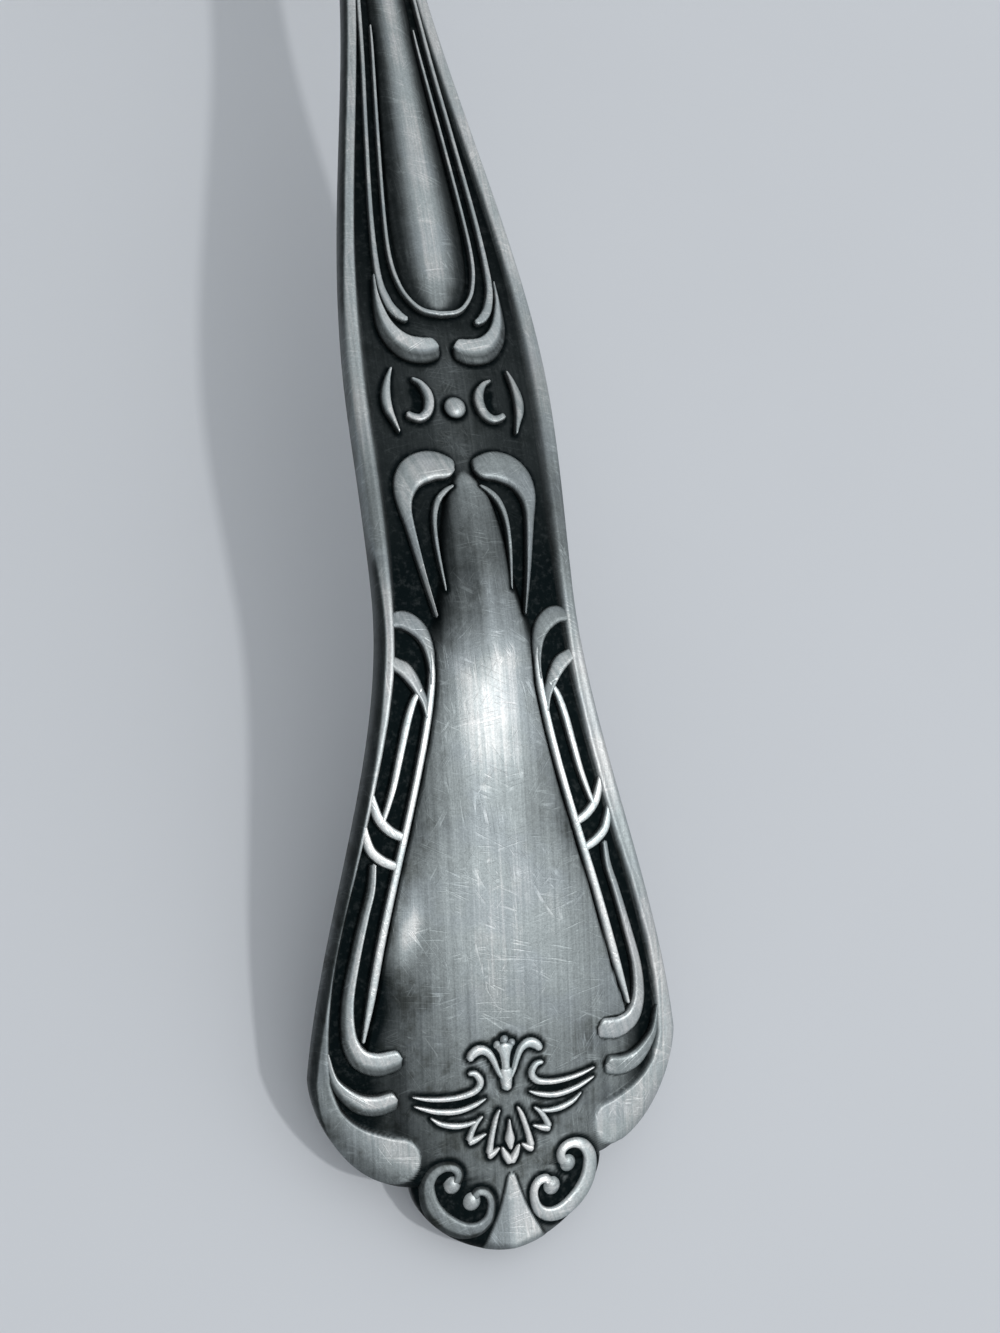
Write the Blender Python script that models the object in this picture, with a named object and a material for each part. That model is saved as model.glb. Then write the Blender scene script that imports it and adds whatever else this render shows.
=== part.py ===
"""Soup ladle of silver-plated metal: a deep round bowl and a die-struck handle soldered to its back.

Metres, +Z up. The ladle lies at rest: the worn flat under the bowl is at the origin, the handle runs
towards -Y with its struck face up, and its nose touches the same surface as the bowl.
"""

import math

import bmesh
import bpy
import numpy as np

MM = 0.001

# Bowl: a drawn spherical shell
BOWL_RADIUS = 49.0 * MM  # outside of the wall
BOWL_DEPTH = 37.0 * MM  # rim to lowest outside point, along the bowl's own axis
BOWL_WALL = 1.3 * MM
BASE_FLAT_DEPTH = 0.4 * MM  # worn off the sphere where the bowl stands

# Handle: outline as half-widths at stations measured from the nose
HANDLE_LENGTH = 206.0 * MM  # nose to the bend at the bowl
NOSE_LENGTH = 6.2 * MM
NOSE_HALF_WIDTH = 8.2 * MM
FLARE_STATION = 15.5 * MM
FLARE_HALF_WIDTH = 15.75 * MM
WAIST_STATION = 53.0 * MM
WAIST_HALF_WIDTH = 8.45 * MM
COLLAR_STATION = 69.5 * MM
COLLAR_HALF_WIDTH = 8.85 * MM
NECK_STATION = 122.0 * MM
NECK_HALF_WIDTH = 3.4 * MM
HEEL_HALF_WIDTH = 5.8 * MM

# Handle: thickness along its middle and at its edges
FLARE_THICKNESS = 2.4 * MM
COLLAR_THICKNESS = 3.2 * MM
NECK_THICKNESS = 4.2 * MM
TONGUE_TIP_THICKNESS = 0.9 * MM
FLARE_EDGE = 1.5 * MM
WAIST_EDGE = 2.0 * MM
NECK_EDGE = 1.4 * MM
HEEL_EDGE = 2.4 * MM
TONGUE_EDGE = 0.6 * MM
CROWN_RADIUS = 116.28 * MM  # of the struck face, across the handle

# Handle: side profile
STEM_RISE = math.radians(24.0)  # of the stem above the bowl's rim plane
DROOP = (  # of the grip below the stem's line: station, degrees
    (0.0 * MM, 16.0),
    (7.0 * MM, 19.6),
    (17.0 * MM, 21.4),
    (36.0 * MM, 17.1),
    (56.0 * MM, 8.2),
    (76.0 * MM, 1.1),
    (92.0 * MM, 0.0),
)

# Joint: the handle ends in a tongue that lies on the bowl's back over a seam of solder
BEND_RADIUS = 7.0 * MM
TONGUE_LENGTH = 21.0 * MM
TONGUE_HALF_WIDTH = 7.0 * MM
SOLDER_THICKNESS = 0.5 * MM
SOLDER_MARGIN = 0.8 * MM  # how far the seam shows around the tongue
JOINT_GAP = 0.3 * MM

# Struck ornament
RELIEF = 0.5 * MM  # height of a stroke above the face
DOME_HEIGHT = 1.0 * MM
ROOT_DEPTH = 0.4 * MM  # how deep a stroke's foot is sunk into the face
EDGE_MARGIN = 0.15 * MM  # what stays clear between a stroke and the handle's edge

# Facets
BOWL_SEGMENTS = 56
BOWL_RINGS = 13
FRONT_COLUMNS = 9
BACK_COLUMNS = 7
SAMPLES_PER_SPAN = 2
BOSS_SIDES = 10

# The outline on which the ornament below is drawn, in its drawing's units: station, half-width
DRAWN_OUTLINE = ((0, 8.2), (6.2, 8.2), (15.5, 15.75), (53, 8.45), (69.5, 8.85), (122, 3.4), (206, 5.8))

# Strokes that follow the edge, as drawn: inset from the edge, station, width
EDGE_STROKES = {
    "rim": ((0.6, 165, 0.5), (0.65, 120, 0.9), (0.7, 90, 1.0), (0.7, 66, 1.1), (0.6, 53, 0.9),
            (0.5, 44, 0.7), (0.55, 34, 0.8), (0.65, 24, 1.0), (0.85, 15.5, 1.4), (0.95, 13.1, 1.6)),
    "end_tongue": ((0.85, 14, 1.2), (1.05, 11.6, 1.6), (1.8, 9.9, 2.3), (2.6, 8.9, 3.0),
                   (3.4, 8.5, 3.2), (4.2, 8.4, 2.4)),
    "panel_line": ((1.0, 50.6, 1.0), (2.2, 50.5, 1.4), (3.2, 49.8, 1.2), (3.85, 48.8, 0.9),
                   (4.2, 47.5, 0.7), (4.25, 44, 0.55), (4.25, 36, 0.6), (4.2, 28, 0.65), (4.2, 22, 0.5),
                   (4.1, 18.2, 0.25)),
    "bracket_top": ((0.8, 47.4, 0.6), (1.6, 47.0, 0.75), (2.4, 46.2, 0.75), (3.1, 45.3, 0.65),
                    (4.1, 43.0, 0.5)),
    "channel_reed": ((2.9, 44.2, 0.25), (2.7, 42.5, 0.5), (2.6, 39.5, 0.5), (2.3, 35.4, 0.5)),
    "bracket_upper": ((0.7, 37.0, 0.4), (1.3, 35.8, 0.55), (2.1, 34.8, 0.65), (3.05, 34.1, 0.6),
                      (4.0, 33.7, 0.5)),
    "bracket_lower": ((0.6, 34.9, 0.4), (1.2, 33.6, 0.55), (2.05, 32.6, 0.65), (2.95, 31.9, 0.6),
                      (3.85, 31.6, 0.5)),
    "inner_hook": ((2.1, 31.8, 0.4), (2.05, 29, 0.5), (2.1, 24, 0.6), (2.3, 20.5, 0.7), (2.9, 17.8, 0.9),
                   (3.8, 16.8, 1.2), (4.85, 16.3, 1.4), (5.95, 16.4, 1.4), (6.8, 16.8, 1.1)),
    "outer_hook": ((1.35, 17.5, 0.3), (1.95, 15.7, 0.5), (2.6, 14.5, 0.85), (3.5, 13.7, 1.1),
                   (4.6, 13.3, 1.3), (5.65, 13.4, 1.3), (6.3, 13.6, 0.9)),
}

# Strokes placed from the middle line, as drawn: offset, station, width
SIDE_STROKES = {
    "outer_bead": ((3.15, 76.8, 0.3), (3.9, 77.4, 0.6), (4.6, 78.5, 0.6), (5.05, 81.3, 0.45),
                   (4.75, 86.6, 0.4), (3.95, 95.6, 0.4), (3.1, 104.6, 0.4), (2.4, 115, 0.35),
                   (2.2, 125, 0.3)),
    "collar_hook": ((5.5, 80.8, 0.2), (5.65, 79.1, 0.35), (5.6, 77.6, 0.6), (5.2, 76.2, 0.9),
                    (4.4, 75.1, 1.1), (3.3, 74.5, 1.2), (2.2, 74.4, 1.2), (1.2, 74.7, 1.0), (0.6, 74.8, 0.7)),
    "outer_crescent": ((5.05, 72.1, 0.15), (5.5, 71, 0.5), (5.8, 69.6, 0.75), (5.75, 68.4, 0.7),
                       (5.45, 67.4, 0.4), (5.1, 66.3, 0.15)),
    "inner_crescent": ((3.5, 71.1, 0.2), (2.8, 70.7, 0.5), (2.3, 69.9, 0.75), (2.2, 69.0, 0.8),
                       (2.5, 68.1, 0.75), (3.15, 67.6, 0.65), (3.8, 67.7, 0.55), (4.3, 68.0, 0.5)),
    "leaf": ((0.85, 63.0, 1.0), (1.6, 63.5, 1.6), (2.8, 63.7, 2.1), (4.0, 63.4, 2.2), (4.9, 62.6, 2.0),
             (5.4, 61.5, 1.5), (5.45, 60, 1.05), (5.2, 58.5, 0.75), (4.4, 54.5, 0.4), (3.65, 50.8, 0.2)),
    "leaf_vein": ((1.2, 61.7, 0.2), (2.0, 61.1, 0.4), (2.8, 60, 0.5), (3.25, 58.7, 0.45), (3.2, 56, 0.35),
                  (2.95, 52.7, 0.2)),
    "end_scroll": ((4.75, 7.0, 0.6), (5.4, 7.5, 0.75), (6.3, 7.2, 0.9), (6.9, 6.1, 1.0), (6.8, 4.9, 1.0),
                   (6.15, 3.8, 1.0), (5.2, 2.9, 1.0), (4.1, 2.35, 1.0), (3.0, 2.35, 1.0), (2.15, 2.95, 0.9),
                   (1.9, 3.85, 0.8), (2.3, 4.7, 0.75), (3.1, 5.0, 0.65)),
    "palmette_head": ((0.65, 14.6, 0.35), (0.9, 15.6, 0.45), (1.4, 16.4, 0.55), (2.1, 16.6, 0.6),
                      (2.75, 16.3, 0.6), (3.0, 15.8, 0.5)),
    "palmette_wing_1": ((3.2, 14.6, 0.3), (2.6, 14.5, 0.45), (2.3, 13.9, 0.5), (2.6, 13.3, 0.5),
                        (3.3, 13.0, 0.45), (4.7, 12.9, 0.45), (6.2, 13.1, 0.35), (7.75, 13.5, 0.2)),
    "palmette_wing_2": ((1.85, 12.4, 0.2), (2.7, 12.1, 0.35), (3.7, 11.8, 0.4), (5.0, 11.8, 0.4),
                        (6.2, 12.1, 0.35), (7.65, 12.6, 0.2)),
    "palmette_wing_3": ((3.1, 10.8, 0.2), (3.9, 10.6, 0.35), (4.9, 10.6, 0.45), (5.9, 11.1, 0.35),
                        (6.6, 11.7, 0.2)),
    "palmette_leaf_1": ((2.2, 11.1, 0.2), (2.9, 10.4, 0.4), (3.4, 9.3, 0.45)),
    "palmette_leaf_2": ((0.9, 11.4, 0.2), (1.35, 10.1, 0.4), (1.8, 8.6, 0.45), (1.9, 7.9, 0.3)),
}

# Strokes on the middle line, as drawn: station, width, share of the dome's height
MIDDLE_STROKES = {
    "stem_dome": ((78.0, 2.4, 0.3), (79.2, 5.0, 0.7), (81, 6.1, 0.95), (85, 6.4, 1), (92, 5.7, 1),
                  (100, 4.5, 0.9), (108, 3.8, 0.8), (122, 3.2, 0.6), (165, 2.6, 0.3)),
    "grip_dome": ((62.4, 1.0, 0.4), (60.6, 2.6, 0.7), (57.5, 4.4, 0.9), (53.5, 5.6, 0.9), (49.5, 7.2, 0.8),
                  (44, 8.2, 0.6), (38, 8.6, 0.35), (32, 8.6, 0.15)),
    "end_fan": ((6.3, 0.5, 0.5), (5.0, 1.0, 0.55), (4.0, 1.5, 0.55), (3.0, 2.1, 0.55), (2.0, 3.0, 0.5),
                (1.2, 4.0, 0.45), (0.6, 4.2, 0.4)),
    "palmette_crown": ((12.9, 0.8, 0.4), (14.6, 0.8, 0.5), (15.2, 0.6, 0.5), (16.1, 0.9, 0.5),
                       (16.7, 1.3, 0.4)),
    "palmette_bud": ((10.5, 0.25, 0.3), (9.3, 0.75, 0.5), (8.2, 0.4, 0.5), (7.0, 0.8, 0.3)),
}

# The bead that runs round the end of the stem's dome, as drawn, from the middle line up one side
ROUND_BEAD = ((-0.3, 77.2, 0.5), (1.5, 77.5, 0.45), (2.6, 78.5, 0.4), (3.3, 80.0, 0.4), (3.7, 82.5, 0.4),
              (3.6, 86.6, 0.35), (3.0, 94.6, 0.35), (2.2, 104, 0.3), (2.0, 107, 0.2))

# Round bosses, as drawn: offset, station, radius
BOSSES = {
    "collar_pearl": (0.0, 68.6, 0.95),
    "scroll_eye_upper": (4.95, 6.05, 0.75),
    "scroll_eye_lower": (3.6, 4.35, 0.7),
}

SILVER = ("silver plate", (0.56, 0.57, 0.56), 0.3)
SOLDER = ("silver solder", (0.42, 0.42, 0.41), 0.45)


def hermite(t, start, end, start_slope=0.0, end_slope=0.0):
    """Cubic ease from start to end for t from 0 to 1, with slopes per unit of t."""
    t = np.clip(t, 0.0, 1.0)
    return (
        start * (2 * t**3 - 3 * t**2 + 1)
        + end * (3 * t**2 - 2 * t**3)
        + start_slope * (t**3 - 2 * t**2 + t)
        + end_slope * (t**3 - t**2)
    )


def smooth_through(points, samples):
    """Catmull-Rom curve through the points: every point, with samples steps to each span."""
    points = np.array(points, float)
    padded = np.vstack([2 * points[0] - points[1], points, 2 * points[-1] - points[-2]])
    curve = []
    for before, start, end, after in zip(padded, padded[1:], padded[2:], padded[3:]):
        for step in range(samples):
            curve.append(hermite(step / samples, start, end, (end - before) / 2, (after - start) / 2))
    curve.append(points[-1])
    return np.array(curve)


def along(stations, table):
    """Smooth value at each station of a table of (station, value)."""
    fine = smooth_through(table, 12)
    return np.interp(stations, fine[:, 0], fine[:, 1])


def quarter_round(t):
    """0 to 1 as t goes from 0 to 1, round at the start's side and a little flatter than an ellipse."""
    flatness = 1.75
    return (1 - (1 - np.clip(t, 0, 1)) ** flatness) ** (1 / flatness)


RIM_ANGLE = math.acos((BOWL_RADIUS - BOWL_DEPTH) / BOWL_RADIUS)  # from the bowl's lowest point
TONGUE_RADIUS = BOWL_RADIUS + 2 * JOINT_GAP + SOLDER_THICKNESS
BEND_ANGLE = math.acos(
    (BOWL_RADIUS - BOWL_DEPTH + BEND_RADIUS * math.cos(STEM_RISE)) / (TONGUE_RADIUS + BEND_RADIUS)
)
BEND_LENGTH = BEND_RADIUS * (BEND_ANGLE - STEM_RISE)
TONGUE_START = HANDLE_LENGTH + BEND_LENGTH
HANDLE_END = TONGUE_START + TONGUE_LENGTH


def half_width(stations):
    """Half-width of the handle at stations from the nose to the end of the tongue."""
    v = np.asarray(stations, float)
    nose = NOSE_HALF_WIDTH * quarter_round(v / NOSE_LENGTH)
    shoulder = (v - NOSE_LENGTH) / (FLARE_STATION - NOSE_LENGTH)
    flare = NOSE_HALF_WIDTH + (FLARE_HALF_WIDTH - NOSE_HALF_WIDTH) * quarter_round(shoulder)
    taper = FLARE_HALF_WIDTH - WAIST_HALF_WIDTH
    past_flare = (v - FLARE_STATION) / (WAIST_STATION - FLARE_STATION)
    past_waist = (v - WAIST_STATION) / (COLLAR_STATION - WAIST_STATION)
    past_collar = (v - COLLAR_STATION) / (NECK_STATION - COLLAR_STATION)
    past_neck = (v - NECK_STATION) / (HANDLE_LENGTH - NECK_STATION)
    to_waist = hermite(past_flare, FLARE_HALF_WIDTH, WAIST_HALF_WIDTH, -0.6 * taper)
    to_collar = hermite(past_waist, WAIST_HALF_WIDTH, COLLAR_HALF_WIDTH)
    to_neck = hermite(past_collar, COLLAR_HALF_WIDTH, NECK_HALF_WIDTH)
    to_heel = hermite(past_neck, NECK_HALF_WIDTH, HEEL_HALF_WIDTH)
    to_tongue = hermite((v - HANDLE_LENGTH) / BEND_LENGTH, HEEL_HALF_WIDTH, TONGUE_HALF_WIDTH)
    tongue = TONGUE_HALF_WIDTH * quarter_round((HANDLE_END - v) / TONGUE_LENGTH)
    pieces = (
        (NOSE_LENGTH, nose),
        (FLARE_STATION, flare),
        (WAIST_STATION, to_waist),
        (COLLAR_STATION, to_collar),
        (NECK_STATION, to_neck),
        (HANDLE_LENGTH, to_heel),
        (TONGUE_START, to_tongue),
    )
    return np.select([v < limit for limit, _ in pieces], [piece for _, piece in pieces], tongue)


def thickness(stations):
    """Thickness of the handle along its middle."""
    table = (
        (0.0, 0.85 * FLARE_THICKNESS),
        (FLARE_STATION, FLARE_THICKNESS),
        (COLLAR_STATION, COLLAR_THICKNESS),
        (NECK_STATION, NECK_THICKNESS),
        (HANDLE_LENGTH, NECK_THICKNESS),
        (TONGUE_START, 0.85 * NECK_THICKNESS),
        (HANDLE_END, TONGUE_TIP_THICKNESS),
    )
    return along(stations, table)


def edge_thickness(stations):
    """Thickness of the handle at its edges."""
    table = (
        (0.0, FLARE_EDGE),
        (FLARE_STATION, FLARE_EDGE),
        (WAIST_STATION, WAIST_EDGE),
        (COLLAR_STATION, (WAIST_EDGE + NECK_EDGE) / 2),
        (NECK_STATION, NECK_EDGE),
        (HANDLE_LENGTH, HEEL_EDGE),
        (TONGUE_START, HEEL_EDGE),
        (HANDLE_END, TONGUE_EDGE),
    )
    return along(stations, table)


def face_fall(offsets, stations):
    """How far the struck face lies below its middle line; on the tongue it wraps the bowl instead."""
    wrap = hermite((stations - (HANDLE_LENGTH - 4 * BEND_RADIUS)) / (4 * BEND_RADIUS), 0.0, 1.0)
    on_bowl = TONGUE_RADIUS - np.sqrt(TONGUE_RADIUS**2 - offsets**2)
    return (1 - wrap) * offsets**2 / (2 * CROWN_RADIUS) - wrap * on_bowl


def side_profile():
    """Middle line of the struck face in the bowl's own frame: stations, y, z and outward elevation."""
    steps = 1200
    stations = np.linspace(0.0, HANDLE_END, steps + 1)
    droop = np.radians(along(stations, DROOP))
    droop[stations > DROOP[-1][0]] = 0.0
    bend = STEM_RISE + np.clip(stations - HANDLE_LENGTH, 0.0, BEND_LENGTH) / BEND_RADIUS
    past_bend = np.clip(stations - TONGUE_START, 0.0, None) / TONGUE_RADIUS
    rise = bend - past_bend - droop
    middle = (rise[1:] + rise[:-1]) / 2
    run = HANDLE_END / steps
    y = np.concatenate([[0.0], np.cumsum(np.cos(middle) * run)])
    z = np.concatenate([[0.0], np.cumsum(-np.sin(middle) * run)])
    tongue_end = BEND_ANGLE - TONGUE_LENGTH / TONGUE_RADIUS
    y += -TONGUE_RADIUS * math.sin(tongue_end) - y[-1]
    z += -TONGUE_RADIUS * math.cos(tongue_end) - z[-1]
    return stations, y, z, rise


PROFILE = side_profile()


def on_face(offsets, stations, heights):
    """Points at heights over the struck face, in the bowl's own frame with the bowl's centre at 0."""
    offsets, stations, heights = np.broadcast_arrays(offsets, stations, heights)
    y = np.interp(stations, PROFILE[0], PROFILE[1])
    z = np.interp(stations, PROFILE[0], PROFILE[2])
    rise = np.interp(stations, PROFILE[0], PROFILE[3])
    over = heights - face_fall(offsets, stations)
    return np.stack([offsets, y + np.sin(rise) * over, z + np.cos(rise) * over], axis=-1)


def back_heights(offsets, stations):
    """Height of the handle's plain back, measured from the struck face above it."""
    middle = thickness(stations)
    across = offsets / half_width(stations)
    return -middle + (middle - edge_thickness(stations)) * across**2


def row_stations():
    """Stations of the handle's cross-sections, close together where the outline turns."""
    nose = NOSE_LENGTH * (1 - np.cos(np.linspace(0.14, math.pi / 2, 8)))
    flare = np.linspace(NOSE_LENGTH, FLARE_STATION, 8)[1:]
    grip = np.linspace(FLARE_STATION, NECK_STATION, 34)[1:]
    stem = np.linspace(NECK_STATION, HANDLE_LENGTH, 12)[1:]
    bend = np.linspace(HANDLE_LENGTH, TONGUE_START, 7)[1:]
    tongue = HANDLE_END - TONGUE_LENGTH * (1 - np.sin(np.linspace(0, 1.45, 9)))[1:]
    return np.concatenate([nose, flare, grip, stem, bend, tongue])


def lift_tilt():
    """Tilt that brings the handle's lowest point down to the level of the bowl's base flat."""
    stations = np.repeat(row_stations(), BACK_COLUMNS)
    offsets = np.tile(np.linspace(-1, 1, BACK_COLUMNS), len(row_stations())) * half_width(stations)
    back = on_face(offsets, stations, back_heights(offsets, stations))
    low, high = 0.0, math.pi / 3
    for _ in range(60):
        tilt = (low + high) / 2
        lowest = (back[:, 1] * math.sin(tilt) + back[:, 2] * math.cos(tilt)).min()
        if lowest > BASE_FLAT_DEPTH - BOWL_RADIUS:
            low = tilt
        else:
            high = tilt
    return tilt


def new_object(name, mesh, finish):
    """An object with its own metal, shaded smooth up to sharp edges."""
    label, colour, roughness = finish
    metal = bpy.data.materials.new(f"{label} of {name}")
    metal.use_nodes = True
    shader = metal.node_tree.nodes["Principled BSDF"]
    shader.inputs["Base Color"].default_value = (*colour, 1.0)
    shader.inputs["Metallic"].default_value = 1.0
    shader.inputs["Roughness"].default_value = roughness
    mesh.materials.append(metal)
    made = bpy.data.objects.new(name, mesh)
    bpy.context.scene.collection.objects.link(made)
    mesh.shade_smooth()
    mesh.set_sharp_from_angle(angle=math.radians(35))
    return made


def helper(made):
    """Marks an object that only cuts or joins others."""
    made.hide_render = True
    made.display_type = "WIRE"
    return made


def closed_mesh(name, points, faces):
    """Mesh of a closed shape with its faces turned outwards."""
    shape = bmesh.new()
    corners = [shape.verts.new(point) for point in points]
    for face in faces:
        shape.faces.new([corners[index] for index in face])
    bmesh.ops.recalc_face_normals(shape, faces=shape.faces)
    mesh = bpy.data.meshes.new(name)
    shape.to_mesh(mesh)
    shape.free()
    return mesh


def loft(name, rings):
    """Closed mesh through rings of the same number of points, capped at both ends."""
    rows, columns = rings.shape[:2]
    faces = [tuple(range(columns)), tuple((rows - 1) * columns + i for i in range(columns))]
    for row in range(rows - 1):
        for i in range(columns):
            j = (i + 1) % columns
            first = row * columns
            faces.append((first + i, first + j, first + columns + j, first + columns + i))
    return closed_mesh(name, rings.reshape(-1, 3), faces)


def handle_blank():
    """The handle before striking: a crowned face, a plain back and the tongue."""
    rings = []
    for station in row_stations():
        width = half_width(station)
        front = np.linspace(-1, 1, FRONT_COLUMNS) * width
        back = np.linspace(1, -1, BACK_COLUMNS) * width
        under = on_face(back, station, back_heights(back, station))
        rings.append(np.vstack([on_face(front, station, 0.0), under]))
    return loft("handle", np.array(rings))


def stroke_mesh(name, path, heights, mirrored):
    """A raised stroke along a path of (offset, station, width), flat-topped with sloping sides."""
    foot, top = 1.0, 0.5
    middle = path[:, :2]
    ahead = np.gradient(middle, axis=0)
    ahead /= np.linalg.norm(ahead, axis=1)[:, None]
    across = np.stack([-ahead[:, 1], ahead[:, 0]], axis=1) * path[:, 2:] / 2
    rings = []
    for side, low in ((-foot, True), (-top, False), (top, False), (foot, True)):
        place = middle + side * across
        limit = half_width(np.clip(place[:, 1], 0, None)) - EDGE_MARGIN
        offsets = np.minimum(place[:, 0], limit)
        rings.append(on_face(-offsets if mirrored else offsets, place[:, 1], -ROOT_DEPTH if low else heights))
    return loft(name, np.stack(rings, axis=1))


def boss_mesh(name, offset, station, radius):
    """A round boss with a domed top."""
    turns = np.linspace(0, 2 * math.pi, BOSS_SIDES, endpoint=False)
    rings = [
        on_face(offset + share * radius * np.cos(turns), station + share * radius * np.sin(turns), height)
        for share, height in ((1.0, -ROOT_DEPTH), (0.95, 0.5 * RELIEF), (0.5, 1.2 * RELIEF))
    ]
    return loft(name, np.array(rings))


def fitted(points):
    """Drawn points of (offset, station, width), carried over to the handle's own stations and widths."""
    offsets, stations, widths = np.asarray(points, float).T
    drawn_stations, drawn_widths = np.array(DRAWN_OUTLINE).T
    own_outline = (
        (0.0, NOSE_HALF_WIDTH),
        (NOSE_LENGTH, NOSE_HALF_WIDTH),
        (FLARE_STATION, FLARE_HALF_WIDTH),
        (WAIST_STATION, WAIST_HALF_WIDTH),
        (COLLAR_STATION, COLLAR_HALF_WIDTH),
        (NECK_STATION, NECK_HALF_WIDTH),
        (HANDLE_LENGTH, HEEL_HALF_WIDTH),
    )
    own_stations, own_widths = np.array(own_outline).T
    scale = np.interp(stations, drawn_stations, own_widths / drawn_widths)
    placed = np.interp(stations, drawn_stations, own_stations)
    return np.stack([offsets * scale, placed, widths * scale], axis=1)


def ornament():
    """Every raised stroke and boss of the struck face, both sides, as closed meshes."""
    meshes = []
    side_paths = dict(SIDE_STROKES, round_bead=ROUND_BEAD)
    for name, points in EDGE_STROKES.items():
        path = fitted(smooth_through(points, SAMPLES_PER_SPAN))
        path[:, 0] = half_width(path[:, 1]) - path[:, 0]
        meshes += [stroke_mesh(name, path, RELIEF, mirrored) for mirrored in (False, True)]
    for name, points in side_paths.items():
        path = fitted(smooth_through(points, SAMPLES_PER_SPAN))
        meshes += [stroke_mesh(name, path, RELIEF, mirrored) for mirrored in (False, True)]
    for name, points in MIDDLE_STROKES.items():
        stations, widths, shares = smooth_through(points, SAMPLES_PER_SPAN).T
        path = fitted(np.stack([0 * stations, stations, widths], axis=1))
        meshes.append(stroke_mesh(name, path, shares * DOME_HEIGHT, False))
    for name, boss in BOSSES.items():
        offset, station, radius = fitted([boss])[0]
        for side in sorted({offset, -offset}):
            meshes.append(boss_mesh(name, side, station, radius))
    return meshes


def solder_mesh():
    """The seam between the bowl's back and the handle's tongue, with a margin that shows around it."""
    rows, columns = 14, 9
    stations = np.linspace(TONGUE_START - 0.45 * BEND_LENGTH, HANDLE_END, rows)
    widths = np.maximum(half_width(stations), 0.0) + SOLDER_MARGIN
    across = np.linspace(-1, 1, columns)
    offsets = widths[:, None] * across
    outer = on_face(offsets, stations[:, None], JOINT_GAP)
    inner = outer * (BOWL_RADIUS + JOINT_GAP) / np.linalg.norm(outer, axis=2)[:, :, None]
    return loft("solder_seam", np.concatenate([outer, inner[:, ::-1]], axis=1))


def bowl_mesh():
    """The bowl's shell: outside, rounded rim and inside, turned about its own axis."""
    lip = BOWL_WALL / 2
    outside = np.linspace(0, RIM_ANGLE, BOWL_RINGS)
    radii = [(BOWL_RADIUS, angle) for angle in outside]
    middle = BOWL_RADIUS - lip
    radii.append((middle, RIM_ANGLE + 0.8 * lip / middle))
    radii += [(BOWL_RADIUS - BOWL_WALL, angle) for angle in outside[::-1]]
    turns = np.linspace(0, 2 * math.pi, BOWL_SEGMENTS, endpoint=False)
    rings = [
        np.stack([
            radius * math.sin(angle) * np.cos(turns),
            radius * math.sin(angle) * np.sin(turns),
            np.full(BOWL_SEGMENTS, -radius * math.cos(angle)),
        ], axis=1)
        for radius, angle in radii[1:-1]
    ]
    points = np.vstack([*rings, [(0, 0, -BOWL_RADIUS)], [(0, 0, BOWL_WALL - BOWL_RADIUS)]])
    faces = []
    for row in range(len(rings) - 1):
        for i in range(BOWL_SEGMENTS):
            j = (i + 1) % BOWL_SEGMENTS
            first = row * BOWL_SEGMENTS
            faces.append((first + i, first + j, first + BOWL_SEGMENTS + j, first + BOWL_SEGMENTS + i))
    last = (len(rings) - 1) * BOWL_SEGMENTS
    for i in range(BOWL_SEGMENTS):
        j = (i + 1) % BOWL_SEGMENTS
        faces.append((len(points) - 2, i, j))
        faces.append((len(points) - 1, last + i, last + j))
    return closed_mesh("bowl", points, faces)


def join(target, operation, others, name):
    """Adds a Boolean of the target with every object of a helper collection."""
    group = bpy.data.collections.new(name)
    bpy.context.scene.collection.children.link(group)
    for other in others:
        bpy.context.scene.collection.objects.unlink(other)
        group.objects.link(helper(other))
    boolean = target.modifiers.new(name, "BOOLEAN")
    boolean.operation = operation
    boolean.operand_type = "COLLECTION"
    boolean.collection = group
    boolean.solver = "EXACT"
    return boolean


def table_cutter():
    """A slab under the surface that the ladle lies on."""
    side = 4 * BOWL_RADIUS
    corners = [(x, y, z) for x in (-side, side) for y in (-side, side) for z in (-side, 0.0)]
    faces = [(0, 1, 3, 2), (4, 6, 7, 5), (0, 4, 5, 1), (2, 3, 7, 6), (0, 2, 6, 4), (1, 5, 7, 3)]
    return new_object("table_cutter", closed_mesh("table_cutter", corners, faces), SOLDER)


def build():
    for old in list(bpy.data.objects):
        bpy.data.objects.remove(old)

    ladle = bpy.data.objects.new("ladle", None)
    bpy.context.scene.collection.objects.link(ladle)
    ladle.location = (0.0, 0.0, BOWL_RADIUS - BASE_FLAT_DEPTH)
    ladle.rotation_euler = (lift_tilt(), 0.0, 0.0)

    bowl = new_object("bowl", bowl_mesh(), SILVER)
    handle = new_object("handle", handle_blank(), SILVER)
    seam = new_object("solder_seam", solder_mesh(), SOLDER)
    strokes = [new_object(mesh.name, mesh, SILVER) for mesh in ornament()]
    for piece in (bowl, handle, seam, *strokes):
        piece.parent = ladle

    join(bowl, "DIFFERENCE", [table_cutter()], "base flat")
    join(handle, "UNION", strokes, "struck ornament")


if __name__ == "__main__":
    build()
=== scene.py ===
"""Looks of a silver-plated soup ladle, built around its packed CAD model.

The struck handle, its raised ornament, the bowl and the solder seam are each made by an operator.
Sizes repeat those of the CAD model and sit in property groups, in metres. Tables of the ornament
are in millimetres: stations run from the handle's nose towards the bowl.
"""

import math

import bmesh
import bpy
import numpy as np
from bpy.props import FloatProperty, FloatVectorProperty, PointerProperty
from mathutils import Matrix, Vector


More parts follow.
